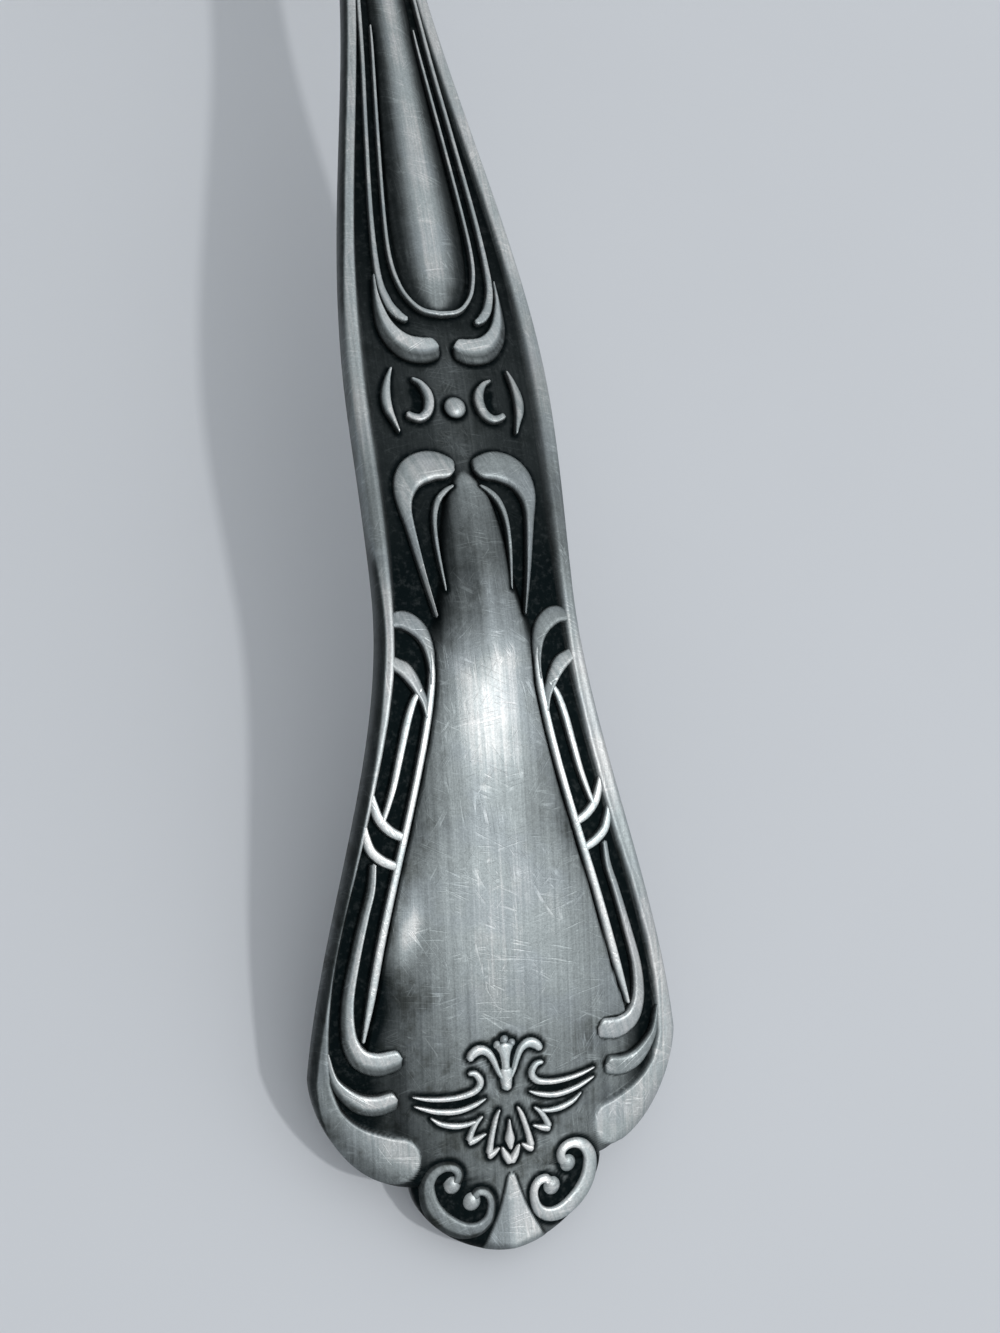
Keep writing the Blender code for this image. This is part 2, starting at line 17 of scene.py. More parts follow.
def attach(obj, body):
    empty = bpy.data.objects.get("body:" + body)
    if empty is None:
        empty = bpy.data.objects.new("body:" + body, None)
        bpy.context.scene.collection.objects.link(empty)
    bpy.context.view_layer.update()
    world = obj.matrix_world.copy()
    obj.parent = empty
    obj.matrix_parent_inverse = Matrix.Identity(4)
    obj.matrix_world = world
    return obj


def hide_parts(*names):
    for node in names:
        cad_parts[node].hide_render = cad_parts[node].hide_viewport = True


bl_info = {
    "name": "Soup Ladle",
    "version": (1, 0, 0),
    "blender": (4, 5, 0),
    "location": "View3D > Sidebar > Ladle",
    "description": "Makes a die-struck soup ladle of worn silver plate",
    "category": "Object",
}

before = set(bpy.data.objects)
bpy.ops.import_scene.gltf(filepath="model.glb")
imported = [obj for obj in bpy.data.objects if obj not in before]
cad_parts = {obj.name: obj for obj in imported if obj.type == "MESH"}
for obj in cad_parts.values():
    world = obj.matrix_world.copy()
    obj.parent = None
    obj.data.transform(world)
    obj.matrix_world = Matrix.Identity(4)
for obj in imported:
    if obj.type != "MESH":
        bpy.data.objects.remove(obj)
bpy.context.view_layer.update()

MM = 0.001
BODY = "root"

# Droop of the grip below the stem's line: station, degrees
DROOP = ((0, 16.0), (7, 19.6), (17, 21.4), (36, 17.1), (56, 8.2), (76, 1.1), (92, 0.0))

# How far off the blank's middle line the die struck its pattern: station, offset
STRIKE = ((0, 0.0), (8, -0.05), (14, -0.2), (20, -0.32), (26, -0.45), (32, -0.47), (38, -0.4),
          (44, -0.22), (50, -0.08), (60, -0.1), (90, -0.1), (110, -0.05), (130, 0.0), (240, 0.0))

# Raised rim along both edges: station, inset of its inner wall
RIM_WALL = ((0, 0.5), (9, 1.5), (13, 1.85), (15.5, 1.65), (18, 1.3), (20, 1.1), (24, 0.9), (28, 0.93),
            (32, 1.08), (38, 1.2), (46, 1.28), (50, 1.15), (53, 1.1), (66, 1.25), (90, 1.2), (120, 1.1),
            (165, 0.85), (240, 0.8))
RIM_HEIGHT = ((0, 0.0), (11.0, 0.0), (13.0, 1.0), (135, 1.0), (165, 0.35), (195, 0.0), (240, 0.0))
# Width of the slope from the rim's crest down to its ground: station, width
RIM_SLOPE = ((0, 0.18), (46, 0.18), (60, 0.6), (72, 0.6), (86, 0.2), (240, 0.2))

# Domes on the middle line: station, half-width, share of the dome's height, roundness of the section
STEM_DOME = ((77.6, 0.3, 0.0, 0.7), (78.2, 1.5, 0.22, 0.7), (79.2, 2.4, 0.45, 0.7),
             (81, 3.0, 0.72, 0.65), (85, 3.2, 0.95, 0.6), (92, 2.85, 1.0, 0.6), (100, 2.3, 0.9, 0.6),
             (108, 1.95, 0.8, 0.6), (122, 1.6, 0.6, 0.7), (165, 1.3, 0.3, 1.0), (195, 1.3, 0.0, 1.0))
GRIP_DOME = ((26, 5.4, 0.0, 1.6), (34, 5.2, 0.1, 1.5), (40, 5.0, 0.25, 1.4), (45, 4.7, 0.42, 1.3),
             (49.5, 4.3, 0.56, 1.15), (53.5, 3.3, 0.62, 1.0), (57.5, 2.75, 0.62, 0.8),
             (60.6, 2.0, 0.5, 0.7), (62.4, 0.95, 0.3, 0.65), (63.2, 0.3, 0.0, 0.7))

# Strokes that follow the edge: inset from the edge, station, width
EDGE_REEDS = {
    "panel_lobe": ((0.75, 50.65, 1.1), (2.0, 50.75, 1.6), (3.15, 50.0, 1.5), (3.85, 48.9, 1.1),
                   (4.25, 47.6, 0.8), (4.4, 46.4, 0.5), (4.45, 45.4, 0.3)),
    "panel_line": ((3.95, 48.7, 0.3), (4.3, 47.3, 0.55), (4.48, 45.5, 0.64), (4.5, 42, 0.66),
                   (4.42, 36, 0.66), (4.28, 28, 0.72), (4.22, 22, 0.72), (4.0, 18.2, 0.3)),
    "bracket_top": ((0.8, 47.7, 0.9), (1.5, 47.25, 1.15), (2.2, 46.8, 1.3), (2.9, 46.0, 1.15),
                    (3.5, 45.1, 0.9), (4.1, 44.1, 0.7), (4.5, 42.8, 0.4)),
    "channel_reed": ((3.7, 45.3, 0.3), (3.15, 44.3, 0.6), (2.85, 42.5, 0.68), (2.73, 40, 0.64),
                     (2.68, 38, 0.6), (2.5, 36, 0.5), (2.3, 34.7, 0.4)),
    "bracket_upper": ((1.0, 37.4, 0.45), (1.4, 36.45, 0.72), (2.05, 35.35, 0.84), (2.95, 34.5, 0.86),
                      (3.8, 34.0, 0.82), (4.6, 33.7, 0.7)),
    "bracket_lower": ((0.95, 35.0, 0.45), (1.3, 34.05, 0.72), (1.95, 32.95, 0.84), (2.9, 32.2, 0.86),
                      (3.7, 31.8, 0.82), (4.5, 31.5, 0.7)),
}
EDGE_HOOKS = {
    "inner_hook": ((2.3, 32.0, 0.55), (2.58, 30, 0.68), (2.5, 28, 0.75), (2.4, 24, 0.88),
                   (2.4, 21.5, 1.0), (2.7, 19.3, 1.2), (3.2, 17.9, 1.45), (4.0, 16.9, 1.75),
                   (5.2, 16.4, 1.95), (6.2, 16.45, 1.9), (7.2, 16.65, 1.65)),
    "outer_hook": ((1.2, 17.8, 0.4), (1.8, 15.9, 0.7), (2.5, 14.6, 1.1), (3.5, 13.5, 1.55),
                   (4.7, 13.15, 1.7), (5.8, 13.3, 1.65), (6.5, 13.45, 1.5)),
}

# Strokes placed from the middle line: offset, station, width
SIDE_REEDS = {
    "outer_bead": ((3.0, 76.5, 0.5), (3.8, 77.1, 0.85), (4.5, 78.3, 0.8), (4.95, 80.8, 0.6),
                   (4.75, 86.6, 0.45), (3.95, 95.6, 0.4), (3.1, 104.6, 0.4), (2.4, 115, 0.35),
                   (2.2, 125, 0.3)),
    "round_bead": ((-0.3, 77.2, 0.5), (1.5, 77.5, 0.45), (2.6, 78.5, 0.4), (3.3, 80.0, 0.4),
                   (3.7, 82.5, 0.4), (3.6, 86.6, 0.35), (3.0, 94.6, 0.35), (2.2, 104, 0.3),
                   (2.0, 107, 0.2)),
    "leaf_vein": ((1.1, 61.7, 0.25), (1.85, 61.25, 0.5), (2.55, 60.5, 0.58), (2.98, 59.4, 0.52),
                  (3.15, 58, 0.42), (3.1, 56, 0.36), (2.8, 52.8, 0.2)),
}
SIDE_SCROLLS = {
    "collar_hook": ((5.4, 80.8, 0.2), (5.45, 79.1, 0.45), (5.35, 77.6, 0.9), (5.05, 76.1, 1.45),
                    (4.4, 74.9, 1.95), (3.4, 74.05, 2.35), (2.2, 73.8, 2.4), (1.25, 73.95, 2.1),
                    (0.65, 74.1, 1.6)),
    "leaf": ((0.85, 63.05, 1.5), (1.6, 63.3, 2.2), (2.8, 63.45, 2.7), (4.0, 63.1, 2.75),
             (4.85, 62.3, 2.4), (5.3, 61.2, 1.8), (5.4, 60, 1.2), (5.2, 58.4, 0.8), (4.55, 54.5, 0.48),
             (3.8, 50.8, 0.25)),
    "end_scroll": ((4.85, 6.0, 0.9), (4.45, 6.45, 0.85), (4.4, 7.0, 0.85), (4.8, 7.45, 0.85),
                   (5.5, 7.62, 0.9), (6.3, 7.4, 1.05), (6.85, 6.8, 1.2), (7.05, 6.0, 1.35),
                   (6.8, 4.7, 1.5), (6.05, 3.55, 1.55), (5.0, 2.7, 1.5), (4.0, 2.25, 1.4),
                   (3.0, 2.25, 1.25), (2.2, 2.75, 1.05), (1.85, 3.6, 0.85), (1.85, 4.45, 0.8),
                   (2.25, 5.05, 0.8), (2.9, 5.2, 0.8), (3.4, 4.75, 0.9)),
}
SIDE_CRESCENTS = {
    "outer_crescent": ((5.05, 72.1, 0.2), (5.5, 71, 0.55), (5.8, 69.6, 0.85), (5.75, 68.4, 0.8),
                       (5.45, 67.4, 0.5), (5.1, 66.3, 0.2)),
    "inner_crescent": ((3.5, 71.1, 0.25), (2.8, 70.7, 0.55), (2.3, 69.9, 0.85), (2.2, 69.0, 0.9),
                       (2.5, 68.1, 0.85), (3.15, 67.6, 0.75), (3.8, 67.7, 0.65), (4.3, 68.0, 0.6)),
}
PALMETTE = {
    "head": ((0.35, 13.9, 0.4), (0.7, 14.6, 0.5), (0.95, 15.3, 0.6), (1.3, 16.0, 0.7),
             (1.8, 16.4, 0.85), (2.35, 16.42, 0.95), (2.85, 16.1, 0.85), (3.05, 15.7, 0.65)),
    "wing_1": ((3.25, 14.75, 0.4), (2.65, 14.65, 0.6), (2.25, 14.15, 0.7), (2.25, 13.7, 0.7),
               (2.6, 13.3, 0.65), (3.2, 13.08, 0.6), (4.2, 12.95, 0.55), (5.5, 13.0, 0.5),
               (6.7, 13.2, 0.42), (7.85, 13.55, 0.2)),
    "wing_2": ((1.82, 12.58, 0.2), (2.7, 12.18, 0.48), (3.8, 11.9, 0.55), (4.8, 11.88, 0.58),
               (6.0, 12.1, 0.52), (6.9, 12.42, 0.42), (7.75, 12.8, 0.2)),
    "wing_3": ((2.75, 10.85, 0.3), (3.6, 10.68, 0.5), (4.6, 10.72, 0.58), (5.7, 11.08, 0.48),
               (6.5, 11.7, 0.2)),
    "leaf_1": ((2.2, 11.2, 0.25), (2.75, 10.7, 0.5), (3.2, 10.0, 0.58), (3.5, 9.3, 0.65)),
    "leaf_1_back": ((3.55, 9.2, 0.7), (2.85, 9.38, 0.6), (2.0, 9.75, 0.25)),
    "leaf_2": ((0.75, 11.5, 0.25), (1.1, 10.8, 0.5), (1.5, 9.5, 0.58), (1.85, 8.0, 0.7)),
    "leaf_2_back": ((1.98, 7.8, 0.75), (1.45, 8.05, 0.6), (0.95, 8.45, 0.25)),
    "tip": ((0.75, 8.45, 0.25), (0.45, 7.75, 0.7), (0.0, 7.0, 0.75)),
}
PALMETTE_MIDDLE = {
    "vase": ((0, 12.9, 0.9), (0, 13.6, 1.1), (0, 14.3, 1.4), (0, 14.8, 1.5)),
    "crown": ((0, 14.5, 0.8), (0, 15.2, 0.8), (0, 15.9, 1.1), (0, 16.4, 1.6), (0, 16.8, 1.5)),
    "bud": ((0, 10.6, 0.2), (0, 9.8, 0.5), (0, 9.0, 0.95), (0, 8.5, 0.65), (0, 8.1, 0.2)),
}

# Sunk places that hold black oxide: offset, station, width
HOLLOWS = {
    "scroll": ((5.5, 6.95, 0.5), (6.05, 6.3, 0.7), (5.95, 5.2, 0.9), (5.1, 4.1, 1.2), (4.2, 3.5, 1.0),
               (3.2, 3.35, 0.7), (2.6, 3.9, 0.5)),
    "crescent": ((3.4, 70.2, 0.2), (3.0, 69.4, 0.5), (3.1, 68.7, 0.5), (3.55, 68.35, 0.2)),
    "wing": ((2.5, 12.85, 0.25), (4.2, 12.42, 0.4), (5.6, 12.5, 0.4), (7.0, 12.95, 0.25)),
}

# Slope across a stroke's top, as a share of its height; minus is high on the concave side
SLANT = {
    "inner_hook": -0.25, "outer_hook": -0.25, "collar_hook": -0.25, "leaf": -0.25, "end_scroll": -0.2,
    "bracket_top": 0.3, "panel_lobe": 0.3, "panel_line": 0.1,
}
# Tarnish on a stroke's top and on its outer flank, with painted shade on the left-hand strokes away from
# the lamp: right top, right flank, left top, left flank
TARNISH_AND_SHADE = {"inner_hook": (0.2, 0.15, 0.0, 0.75), "outer_hook": (0.36, 0.2, 0.05, 0.75),
           "leaf": (0.45, 0.5, 0.3, 0.4), "collar_hook": (0.12, 0.84, 0.05, 0.84),
           "end_scroll": (0.05, 0.25, 0.55, 0.9), "leaf_vein": (0.45, 0.5, 0.4, 0.5),
           "outer_crescent": (0.3, 0.5, 0.1, 0.5), "inner_crescent": (0.3, 0.5, 0.15, 0.5),
           "panel_lobe": (0.5, 0.1, 0.42, 0.1), "bracket_top": (0.3, 0.0, 0.25, 0.0),
           "outer_bead": (0.2, 0.3, 0.2, 0.3), "round_bead": (0.2, 0.3, 0.2, 0.3)}
# Width of the oxide left around a stroke's foot, where it isn't the usual one
HALO = {
    "inner_hook": 0.14, "outer_hook": 0.14, "panel_line": 0.2, "panel_lobe": 0.2, "scroll": 0.25,
    "crescent": 0.5, "wing": 0.2, "leaf_vein": 0.34,
}
USUAL_HALO = 0.48

# The tongue in which each rim ends, struck in one with the rim: offset, station, width
END_TONGUE = ((14.75, 13.6, 1.9), (13.7, 11.7, 2.3), (12.5, 10.3, 2.9), (11.0, 9.3, 3.4),
              (9.9, 8.75, 3.65), (9.3, 8.6, 3.65))
# The fan on the nose: station, half-width
END_FAN = ((-0.5, 3.4), (0.2, 2.95), (0.9, 2.45), (1.6, 2.05), (2.6, 1.5), (3.6, 1.05), (4.6, 0.7),
           (5.4, 0.45), (5.9, 0.3), (6.3, 0.0))
# How far the rim's crest rolls off towards the edge: station, width of the roll
EDGE_ROLL = ((0, 0.9), (8, 1.3), (12, 1.25), (15.5, 1.0), (24, 0.7), (34, 0.5), (53, 0.5), (120, 0.45),
             (240, 0.4))

# Round bosses: offset, station, radius, height as a share of the crest
PEARLS = ((0.0, 68.6, 0.98, 1.25), (4.98, 6.05, 0.8, 1.2), (-4.98, 6.05, 0.8, 1.2),
          (3.45, 4.5, 0.85, 1.2), (-3.45, 4.5, 0.85, 1.2), (0.0, 17.0, 0.42, 1.12),
          (0.62, 16.65, 0.4, 1.1), (-0.62, 16.65, 0.4, 1.1))

# How black the metal is, from 0 to 1, down each part of the struck face: station, share. The ground and
# the rim hold oxide; the panel holds painted shade; the domes hold oxide and painted shade that trims
# their highlights.
GROUND_OXIDE = ((0, 0.9), (8, 0.92), (12, 1.0), (54, 1.0), (60, 0.985), (66, 0.96), (71, 0.955),
                (75, 0.965), (80, 0.985), (90, 1.0), (140, 1.0), (185, 0.05), (240, 0.05))
# Painted shade down the panel's middle: darker towards the nose, where the face turns from the lamp and
# mirrors a darker room
PANEL_PAINTED_SHADE = ((0, 0.67), (8, 0.66), (14, 0.61), (16, 0.57), (18, 0.48), (20, 0.42), (23, 0.35),
               (27, 0.32), (35, 0.38), (38, 0.29), (41, 0.14), (44, 0.05), (52, 0.05))
# Painted shade towards the panel's sides, for the right side and the left side
PANEL_SIDE_SHADE = ((0, 0.76, 1.0), (16, 0.7, 1.02), (20, 0.6, 1.08), (23, 0.58, 1.02), (25, 0.6, 0.88),
              (30, 0.72, 0.74), (34, 0.88, 0.88), (38, 0.84, 0.86), (42, 0.7, 0.78), (46, 0.62, 0.8),
              (52, 0.6, 0.75))
# Tarnish at the upper end of the grip's dome, with painted shade that trims its highlight
GRIP_OXIDE_AND_SHADE = ((24, 0.0), (42, 0.0), (45, 0.06), (47, 0.22), (49, 0.43), (51, 0.56), (53, 0.62),
              (56, 0.76), (58, 0.74), (60, 0.64), (63, 0.42))
# Oxide along the stem's dome, with painted shade at its end where a highlight would fall
STEM_OXIDE_AND_SHADE = ((77, 0.8), (79, 0.54), (81, 0.26), (84, 0.12), (90, 0.12), (110, 0.22), (140, 0.2),
              (240, 0.1))
RIM_OXIDE = ((0, 0.34), (10, 0.27), (14, 0.14), (45, 0.02), (52, 0.2), (56, 0.45), (61, 0.5), (66, 0.3),
             (72, 0.18), (80, 0.12), (120, 0.2), (165, 0.12), (200, 0.05), (240, 0.05))

# Width of the dark line along the handle's left side, oxide with painted shade where the side mirrors the
# shadowed table: station, inset
LEFT_EDGE = ((0, 0.0), (10, 0.1), (16, 0.48), (48, 0.46), (58, 0.12), (76, 0.16), (86, 0.36),
             (120, 0.34), (165, 0.15), (200, 0.0), (240, 0.0))

# Where a form begins and ends along the handle: station where it is 0, station where it is 1
PANEL_TO_END = (17.3, 16.0)
PANEL_TO_COLLAR = (50.5, 46.5)
END_FIELD = (9.6, 8.0)  # offsets, not stations
GRIP_TOP = (63.2, 60.0)
GRIP_BOTTOM = (44.0, 46.0)
RIDGE_START = (11.0, 14.0)
PLAIN_STEM = (150.0, 190.0)
TONGUE_STATIONS = 16.0  # the end tongues lie before this station
DOMES_PART = 70.0  # the grip's dome lies before this station, the stem's beyond it

# Slopes beside a raised form: gap at its foot, gap at its crest
TONGUE_SLOPE = (0.12, -0.1)
FAN_SLOPE = (0.1, -0.08)
RIM_CREST = -0.06  # RIM_SLOPE gives its foot
PANEL_WALL = 0.16  # width of the slope at the panel's sides
RIDGE_INSET, RIDGE_WIDTH = 0.28, 0.22  # from the rim's inner wall

# Spacing of the handle's cross-sections from the nose on: up to which station, spacing
ROW_SPACING = ((20.0, 0.16), (50.0, 0.32), (84.0, 0.22), (112.0, 0.7))
STEM_SPACING = 3.0
# Columns of points across the struck face, as insets from its edge: from, to, spacing
COLUMN_SPACING = ((0.0, 0.56, 0.08), (0.65, 4.9, 0.115))
MIDDLE_COLUMNS = 45
SQUEEZED_BELOW = 8.4  # half-width under which the columns crowd together
MOST_SQUEEZE = 0.58  # they take up this share of the half-width at most

# Stretches with wear of their own, and stretches of painted shade: start, full from, full to, end
COLLAR_RUB = (60.0, 66.0, 73.0, 77.0)
BY_HOOKS = (9.6, 11.6, 18.0, 20.5)
SHADED_LEFT_OF_GRIP = (44.0, 47.0, 53.0, 57.0)
SHADED_LEFT_FLARE_RIM = (10.0, 14.0, 20.0, 24.0)
SHADED_RIGHT_RIM = (20.0, 26.0, 78.0, 84.0)
# Oxide that each place adds or loses by itself, as a share; places on the left and the rim's right side
# add painted shade, and the spot on the panel takes darkness away to paint a highlight
LOCAL_OXIDE_AND_SHADE = {
    "rubbed collar": 0.1, "left hooks": 0.08, "right hooks": 0.37, "painted shade left of grip": 0.2,
    "grip foot oxide and shade": 0.98, "stem flanks oxide and shade": 0.96, "painted highlight spot": 0.58, "fan": 0.2, "left of fan": 0.32,
    "edge of fan": 0.2, "painted shade on left flare rim": 0.3, "painted shade on right rim": 0.15, "painted shade on left tongue": 0.4, "edge": 0.4,
    "left edge oxide and shade": 0.93, "back": 0.08, "edge of back": 0.67, "bowl": 0.05, "lip": 0.1, "solder": 0.2,
}
# Painted highlight on the left of the panel, where a small dent faces the lamp: offset, station,
# half-width, half-length, lean
PAINTED_HIGHLIGHT_SPOT = (-7.3, 26.4, 0.9, 2.4, 0.22)

# Spacing of points along a stroke, and how much closer they crowd at its ends
STROKE_SPACING = 0.15
END_CROWDING = 0.15
# Length of a stroke's rounded end as a share of its width, and the least length
END_ROUND, LEAST_ROUND = 0.26, 0.06
LEAST_FULLNESS = 0.06
STROKE_FOOT = (0.2, 0.55)  # black up to the first height of the arch, rubbed from the second
# the outer flank's darkening is tarnish with painted shade on sides away from the lamp
OUTER_FLANK = (-0.15, 0.5)  # where its tarnish starts and where it is full, across the stroke
# Oxide on a pearl of radius 1: two heights, and the share at each
PEARL_OXIDE = (0.1, 0.7, 1.0, 0.28)

# Noises of the plate: scale per metre, detail, roughness
PLATE_NOISES = {
    "clouds": (140.0, 4.0, 0.55),
    "smudge": (520.0, 4.0, 0.6),
    "mottle": (1900.0, 4.0, 0.65),
    "grain": (6000.0, 3.0, 0.7),
    "patches": (240.0, 3.0, 0.55),
}
BRUSH_STRETCH = (3200.0, 45.0, 45.0)
SCRATCH_STRETCH = (1700.0, 90.0, 90.0)
# The patches that break up the scratches: scale per metre, change of scale with the angle
SCRATCH_BREAKS = (330.0, 40.0)
# Directions of the hairline scratches: angle to the brushing, width
SCRATCHES = ((0.12, 0.03), (0.6, 0.02), (1.1, 0.03), (1.4, 0.035), (1.75, 0.03), (2.5, 0.025))

# How much each pattern shows in the oxide, the colour, the roughness and the relief
IN_OXIDE = {"smudge": 0.2, "speckle": 0.06, "brushing": 0.42, "hairlines": -0.19, "flecks": 0.03}
IN_COLOUR = {
    "clouds": 0.6, "brushing": 0.5, "hairlines": -0.1, "grain": 0.9, "speckle": 0.08, "blued": 0.2,
    "olive": 0.6,
}
IN_ROUGHNESS = {"clouds": 0.12, "brushing": 0.1}
IN_RELIEF = {"grain": 0.4, "hairlines": -0.4, "mottle": 0.3, "mottle on oxide": 0.8}
BUMP_STRENGTH, BUMP_DISTANCE = 0.4, 0.00006
# Olive tarnish from the nose on: two places along y in metres, and the share at each
OLIVE_BY_NOSE = (-0.226, -0.2, 1.0, 0.4)

# Camera at the photograph's viewing angle
CAMERA_PLACE = (-0.04035, -0.23287, 0.11535)
CAMERA_RIGHT = (0.92755, -0.15948, 0.33796)
CAMERA_UP = (0.04633, 0.94647, 0.31945)
CAMERA_LENS = 37.66
CAMERA_SENSOR = 36.0
CAMERA_CLIP = 0.005

# Studio, in metres and watts
LAMP_AIM = (0.0, -0.17, 0.01)
LAMP_FROM_AIM = (0.41, -0.31, 0.95)
LAMP_WIDTH = 0.07
LAMP_POWER = 2.7
SKY_COLOUR = (0.94, 0.97, 1.0, 1.0)
SKY_LEFT, SKY_RIGHT = 0.36, 0.82  # strengths
SKY_FADE = (-0.9, 0.0)  # from the one strength to the other, as directions along x
TABLE_HALF = 1.5
TABLE_LEVEL = -0.00005
TABLE_CLOUDS = 25.0  # scale per metre
TABLE_SHADE = 0.96
TABLE_ROUGHNESS = 0.7


def size(label, description, millimetres):
    """A length of a property group."""
    return FloatProperty(name=label, description=description, default=millimetres * MM, unit="LENGTH")


def turn(label, description, degrees):
    """An angle of a property group."""
    angle = math.radians(degrees)
    return FloatProperty(name=label, description=description, default=angle, unit="ROTATION")


def colour(label, description, value):
    """A colour of a property group."""
    limits = {"subtype": "COLOR", "min": 0, "max": 1}
    return FloatVectorProperty(name=label, description=description, default=value, **limits)


def share(label, description, value):
    """A value from 0 to 1 of a property group."""
    limits = {"subtype": "FACTOR", "min": 0, "max": 1}
    return FloatProperty(name=label, description=description, default=value, **limits)


class LadleHandleSizes(bpy.types.PropertyGroup):
    """Sizes of the struck handle."""

    length: size("Length", "From the nose to the bend at the bowl", 206)
    nose_length: size("Nose length", "Station where the rounded nose meets the flare", 6.2)
    nose_half_width: size("Nose half-width", "Half-width at the end of the nose", 8.2)
    flare_station: size("Flare station", "Where the handle is widest", 15.5)
    flare_half_width: size("Flare half-width", "Half of the handle's greatest width", 15.75)
    waist_station: size("Waist station", "Where the grip is narrowest", 53)
    waist_half_width: size("Waist half-width", "Half-width at the waist", 8.45)
    collar_station: size("Collar station", "Where the collar is widest", 69.5)
    collar_half_width: size("Collar half-width", "Half-width at the collar", 8.85)
    neck_station: size("Neck station", "Where the stem is narrowest", 122)
    neck_half_width: size("Neck half-width", "Half-width of the stem at its narrowest", 3.4)
    heel_half_width: size("Heel half-width", "Half-width at the bend", 5.8)
    flare_thickness: size("Flare thickness", "Thickness of the middle at the flare", 2.4)
    collar_thickness: size("Collar thickness", "Thickness of the middle at the collar", 3.2)
    neck_thickness: size("Neck thickness", "Thickness of the middle at the neck", 4.2)
    flare_edge: size("Flare edge", "Thickness of the edge at the flare", 1.5)
    waist_edge: size("Waist edge", "Thickness of the edge at the waist", 2.0)
    neck_edge: size("Neck edge", "Thickness of the edge at the neck", 1.4)
    heel_edge: size("Heel edge", "Thickness of the edge at the bend", 2.4)
    crown_radius: size("Crown radius", "Radius of the struck face across the handle", 116.28)
    stem_rise: turn("Stem rise", "Rise of the stem above the bowl's rim plane", 24)
    bend_radius: size("Bend radius", "Radius of the bend at the bowl", 7)
    edge_round: size("Edge round", "Rounding of the handle's outer edge", 0.55)
    back_round: size("Back round", "Rounding of the edge towards the back", 0.35)


class LadleReliefSizes(bpy.types.PropertyGroup):
    """Heights of the struck ornament over the handle's face."""

    crest: size("Crest", "Height of rims and scrolls", 0.43)
    dome: size("Dome", "Height of the domes on the middle line", 1.0)
    field: size("Field", "Height of the plain grip panel", 0.26)
    channel: size("Channel", "Depth of the sunk channels", 0.12)
    palmette: size("Palmette", "Height of the palmette over its field", 0.27)
    ridge: size("Ridge", "Height of the fine ridge on the rim's inner edge", 0.08)
    sink: size("Sink", "How deep a stroke's foot sits below its ground", 0.35)


class LadleBowlSizes(bpy.types.PropertyGroup):
    """Sizes of the bowl and of the joint on its back."""

    radius: size("Radius", "Outside of the bowl's wall", 49)
    depth: size("Depth", "Rim to lowest outside point along the bowl's axis", 37)
    wall: size("Wall", "Thickness of the bowl's wall", 1.3)
    base_flat: size("Base flat", "Depth of the worn flat under the bowl", 0.4)
    tilt: turn("Tilt", "Tilt of the bowl as the ladle lies at rest", 23.2374)
    tongue_length: size("Tongue length", "Length of the handle's tongue on the bowl's back", 21)
    tongue_half_width: size("Tongue half-width", "Half-width of the tongue", 7)
    tongue_tip: size("Tongue tip", "Thickness of the tongue's tip", 0.9)
    tongue_edge: size("Tongue edge", "Thickness of the tongue's edge", 0.6)
    solder: size("Solder", "Thickness of the solder seam", 0.5)
    solder_margin: size("Solder margin", "How far the seam shows around the tongue", 0.8)
    joint_gap: size("Joint gap", "Gap of the CAD model on each side of the seam", 0.3)


class LadleFinishes(bpy.types.PropertyGroup):
    """Colours and gloss of the metal and the stage."""

    silver: colour("Silver", "Clean silver plate", (0.70, 0.70, 0.69))
    dulled: colour("Dulled silver", "Plate under a thin tarnish", (0.49, 0.54, 0.545))
    oxide: colour("Oxide", "Black oxide in the recesses", (0.004, 0.007, 0.0078))
    blued: colour("Blued silver", "Cool tarnish in patches on the panel", (0.43, 0.48, 0.55))
    olive: colour("Olive tarnish", "Brown-green tarnish at the edge of the oxide", (0.10, 0.095, 0.06))
    floor: colour("Floor", "Pale table under the ladle", (0.63, 0.65, 0.68))
    gloss: share("Worn roughness", "Roughness of the worn plate", 0.5)
    rubbed: share("Ornament roughness", "Roughness of the rubbed ornament", 0.4)
    polish: share("Bowl roughness", "Roughness of the polished bowl", 0.3)
    dull: share("Oxide roughness", "Roughness of the oxide", 0.55)


def hermite(t, start, end, start_slope=0.0, end_slope=0.0):
    """Cubic ease from start to end for t from 0 to 1, with slopes per unit of t."""
    t = np.clip(t, 0.0, 1.0)
    return (
        start * (2 * t**3 - 3 * t**2 + 1)
        + end * (3 * t**2 - 2 * t**3)
        + start_slope * (t**3 - 2 * t**2 + t)
        + end_slope * (t**3 - t**2)
    )


def ease(low, high, value):
    """0 below low, 1 above high and a smooth step between; low may be the larger of the two."""
    return hermite((value - low) / (high - low), 0.0, 1.0)


def between(stretch, stations):
    """1 on a stretch of stations, easing to 0 at its start and end."""
    start, full_from, full_to, end = stretch
    return ease(start, full_from, stations) * ease(end, full_to, stations)


def smooth_through(points, samples):
    """Catmull-Rom curve through the points: every point, with samples steps to each span."""
    points = np.array(points, float)
    padded = np.vstack([2 * points[0] - points[1], points, 2 * points[-1] - points[-2]])
    curve = []
    for before, start, end, after in zip(padded, padded[1:], padded[2:], padded[3:]):
        for step in range(samples):
            curve.append(hermite(step / samples, start, end, (end - before) / 2, (after - start) / 2))
    curve.append(points[-1])
    return np.array(curve)


def through(stations, table):
    """Value at each station of the smooth curve through a table's rows, as the plain body has it."""
    fine = smooth_through(table, 12)
    return np.interp(stations, fine[:, 0], fine[:, 1])


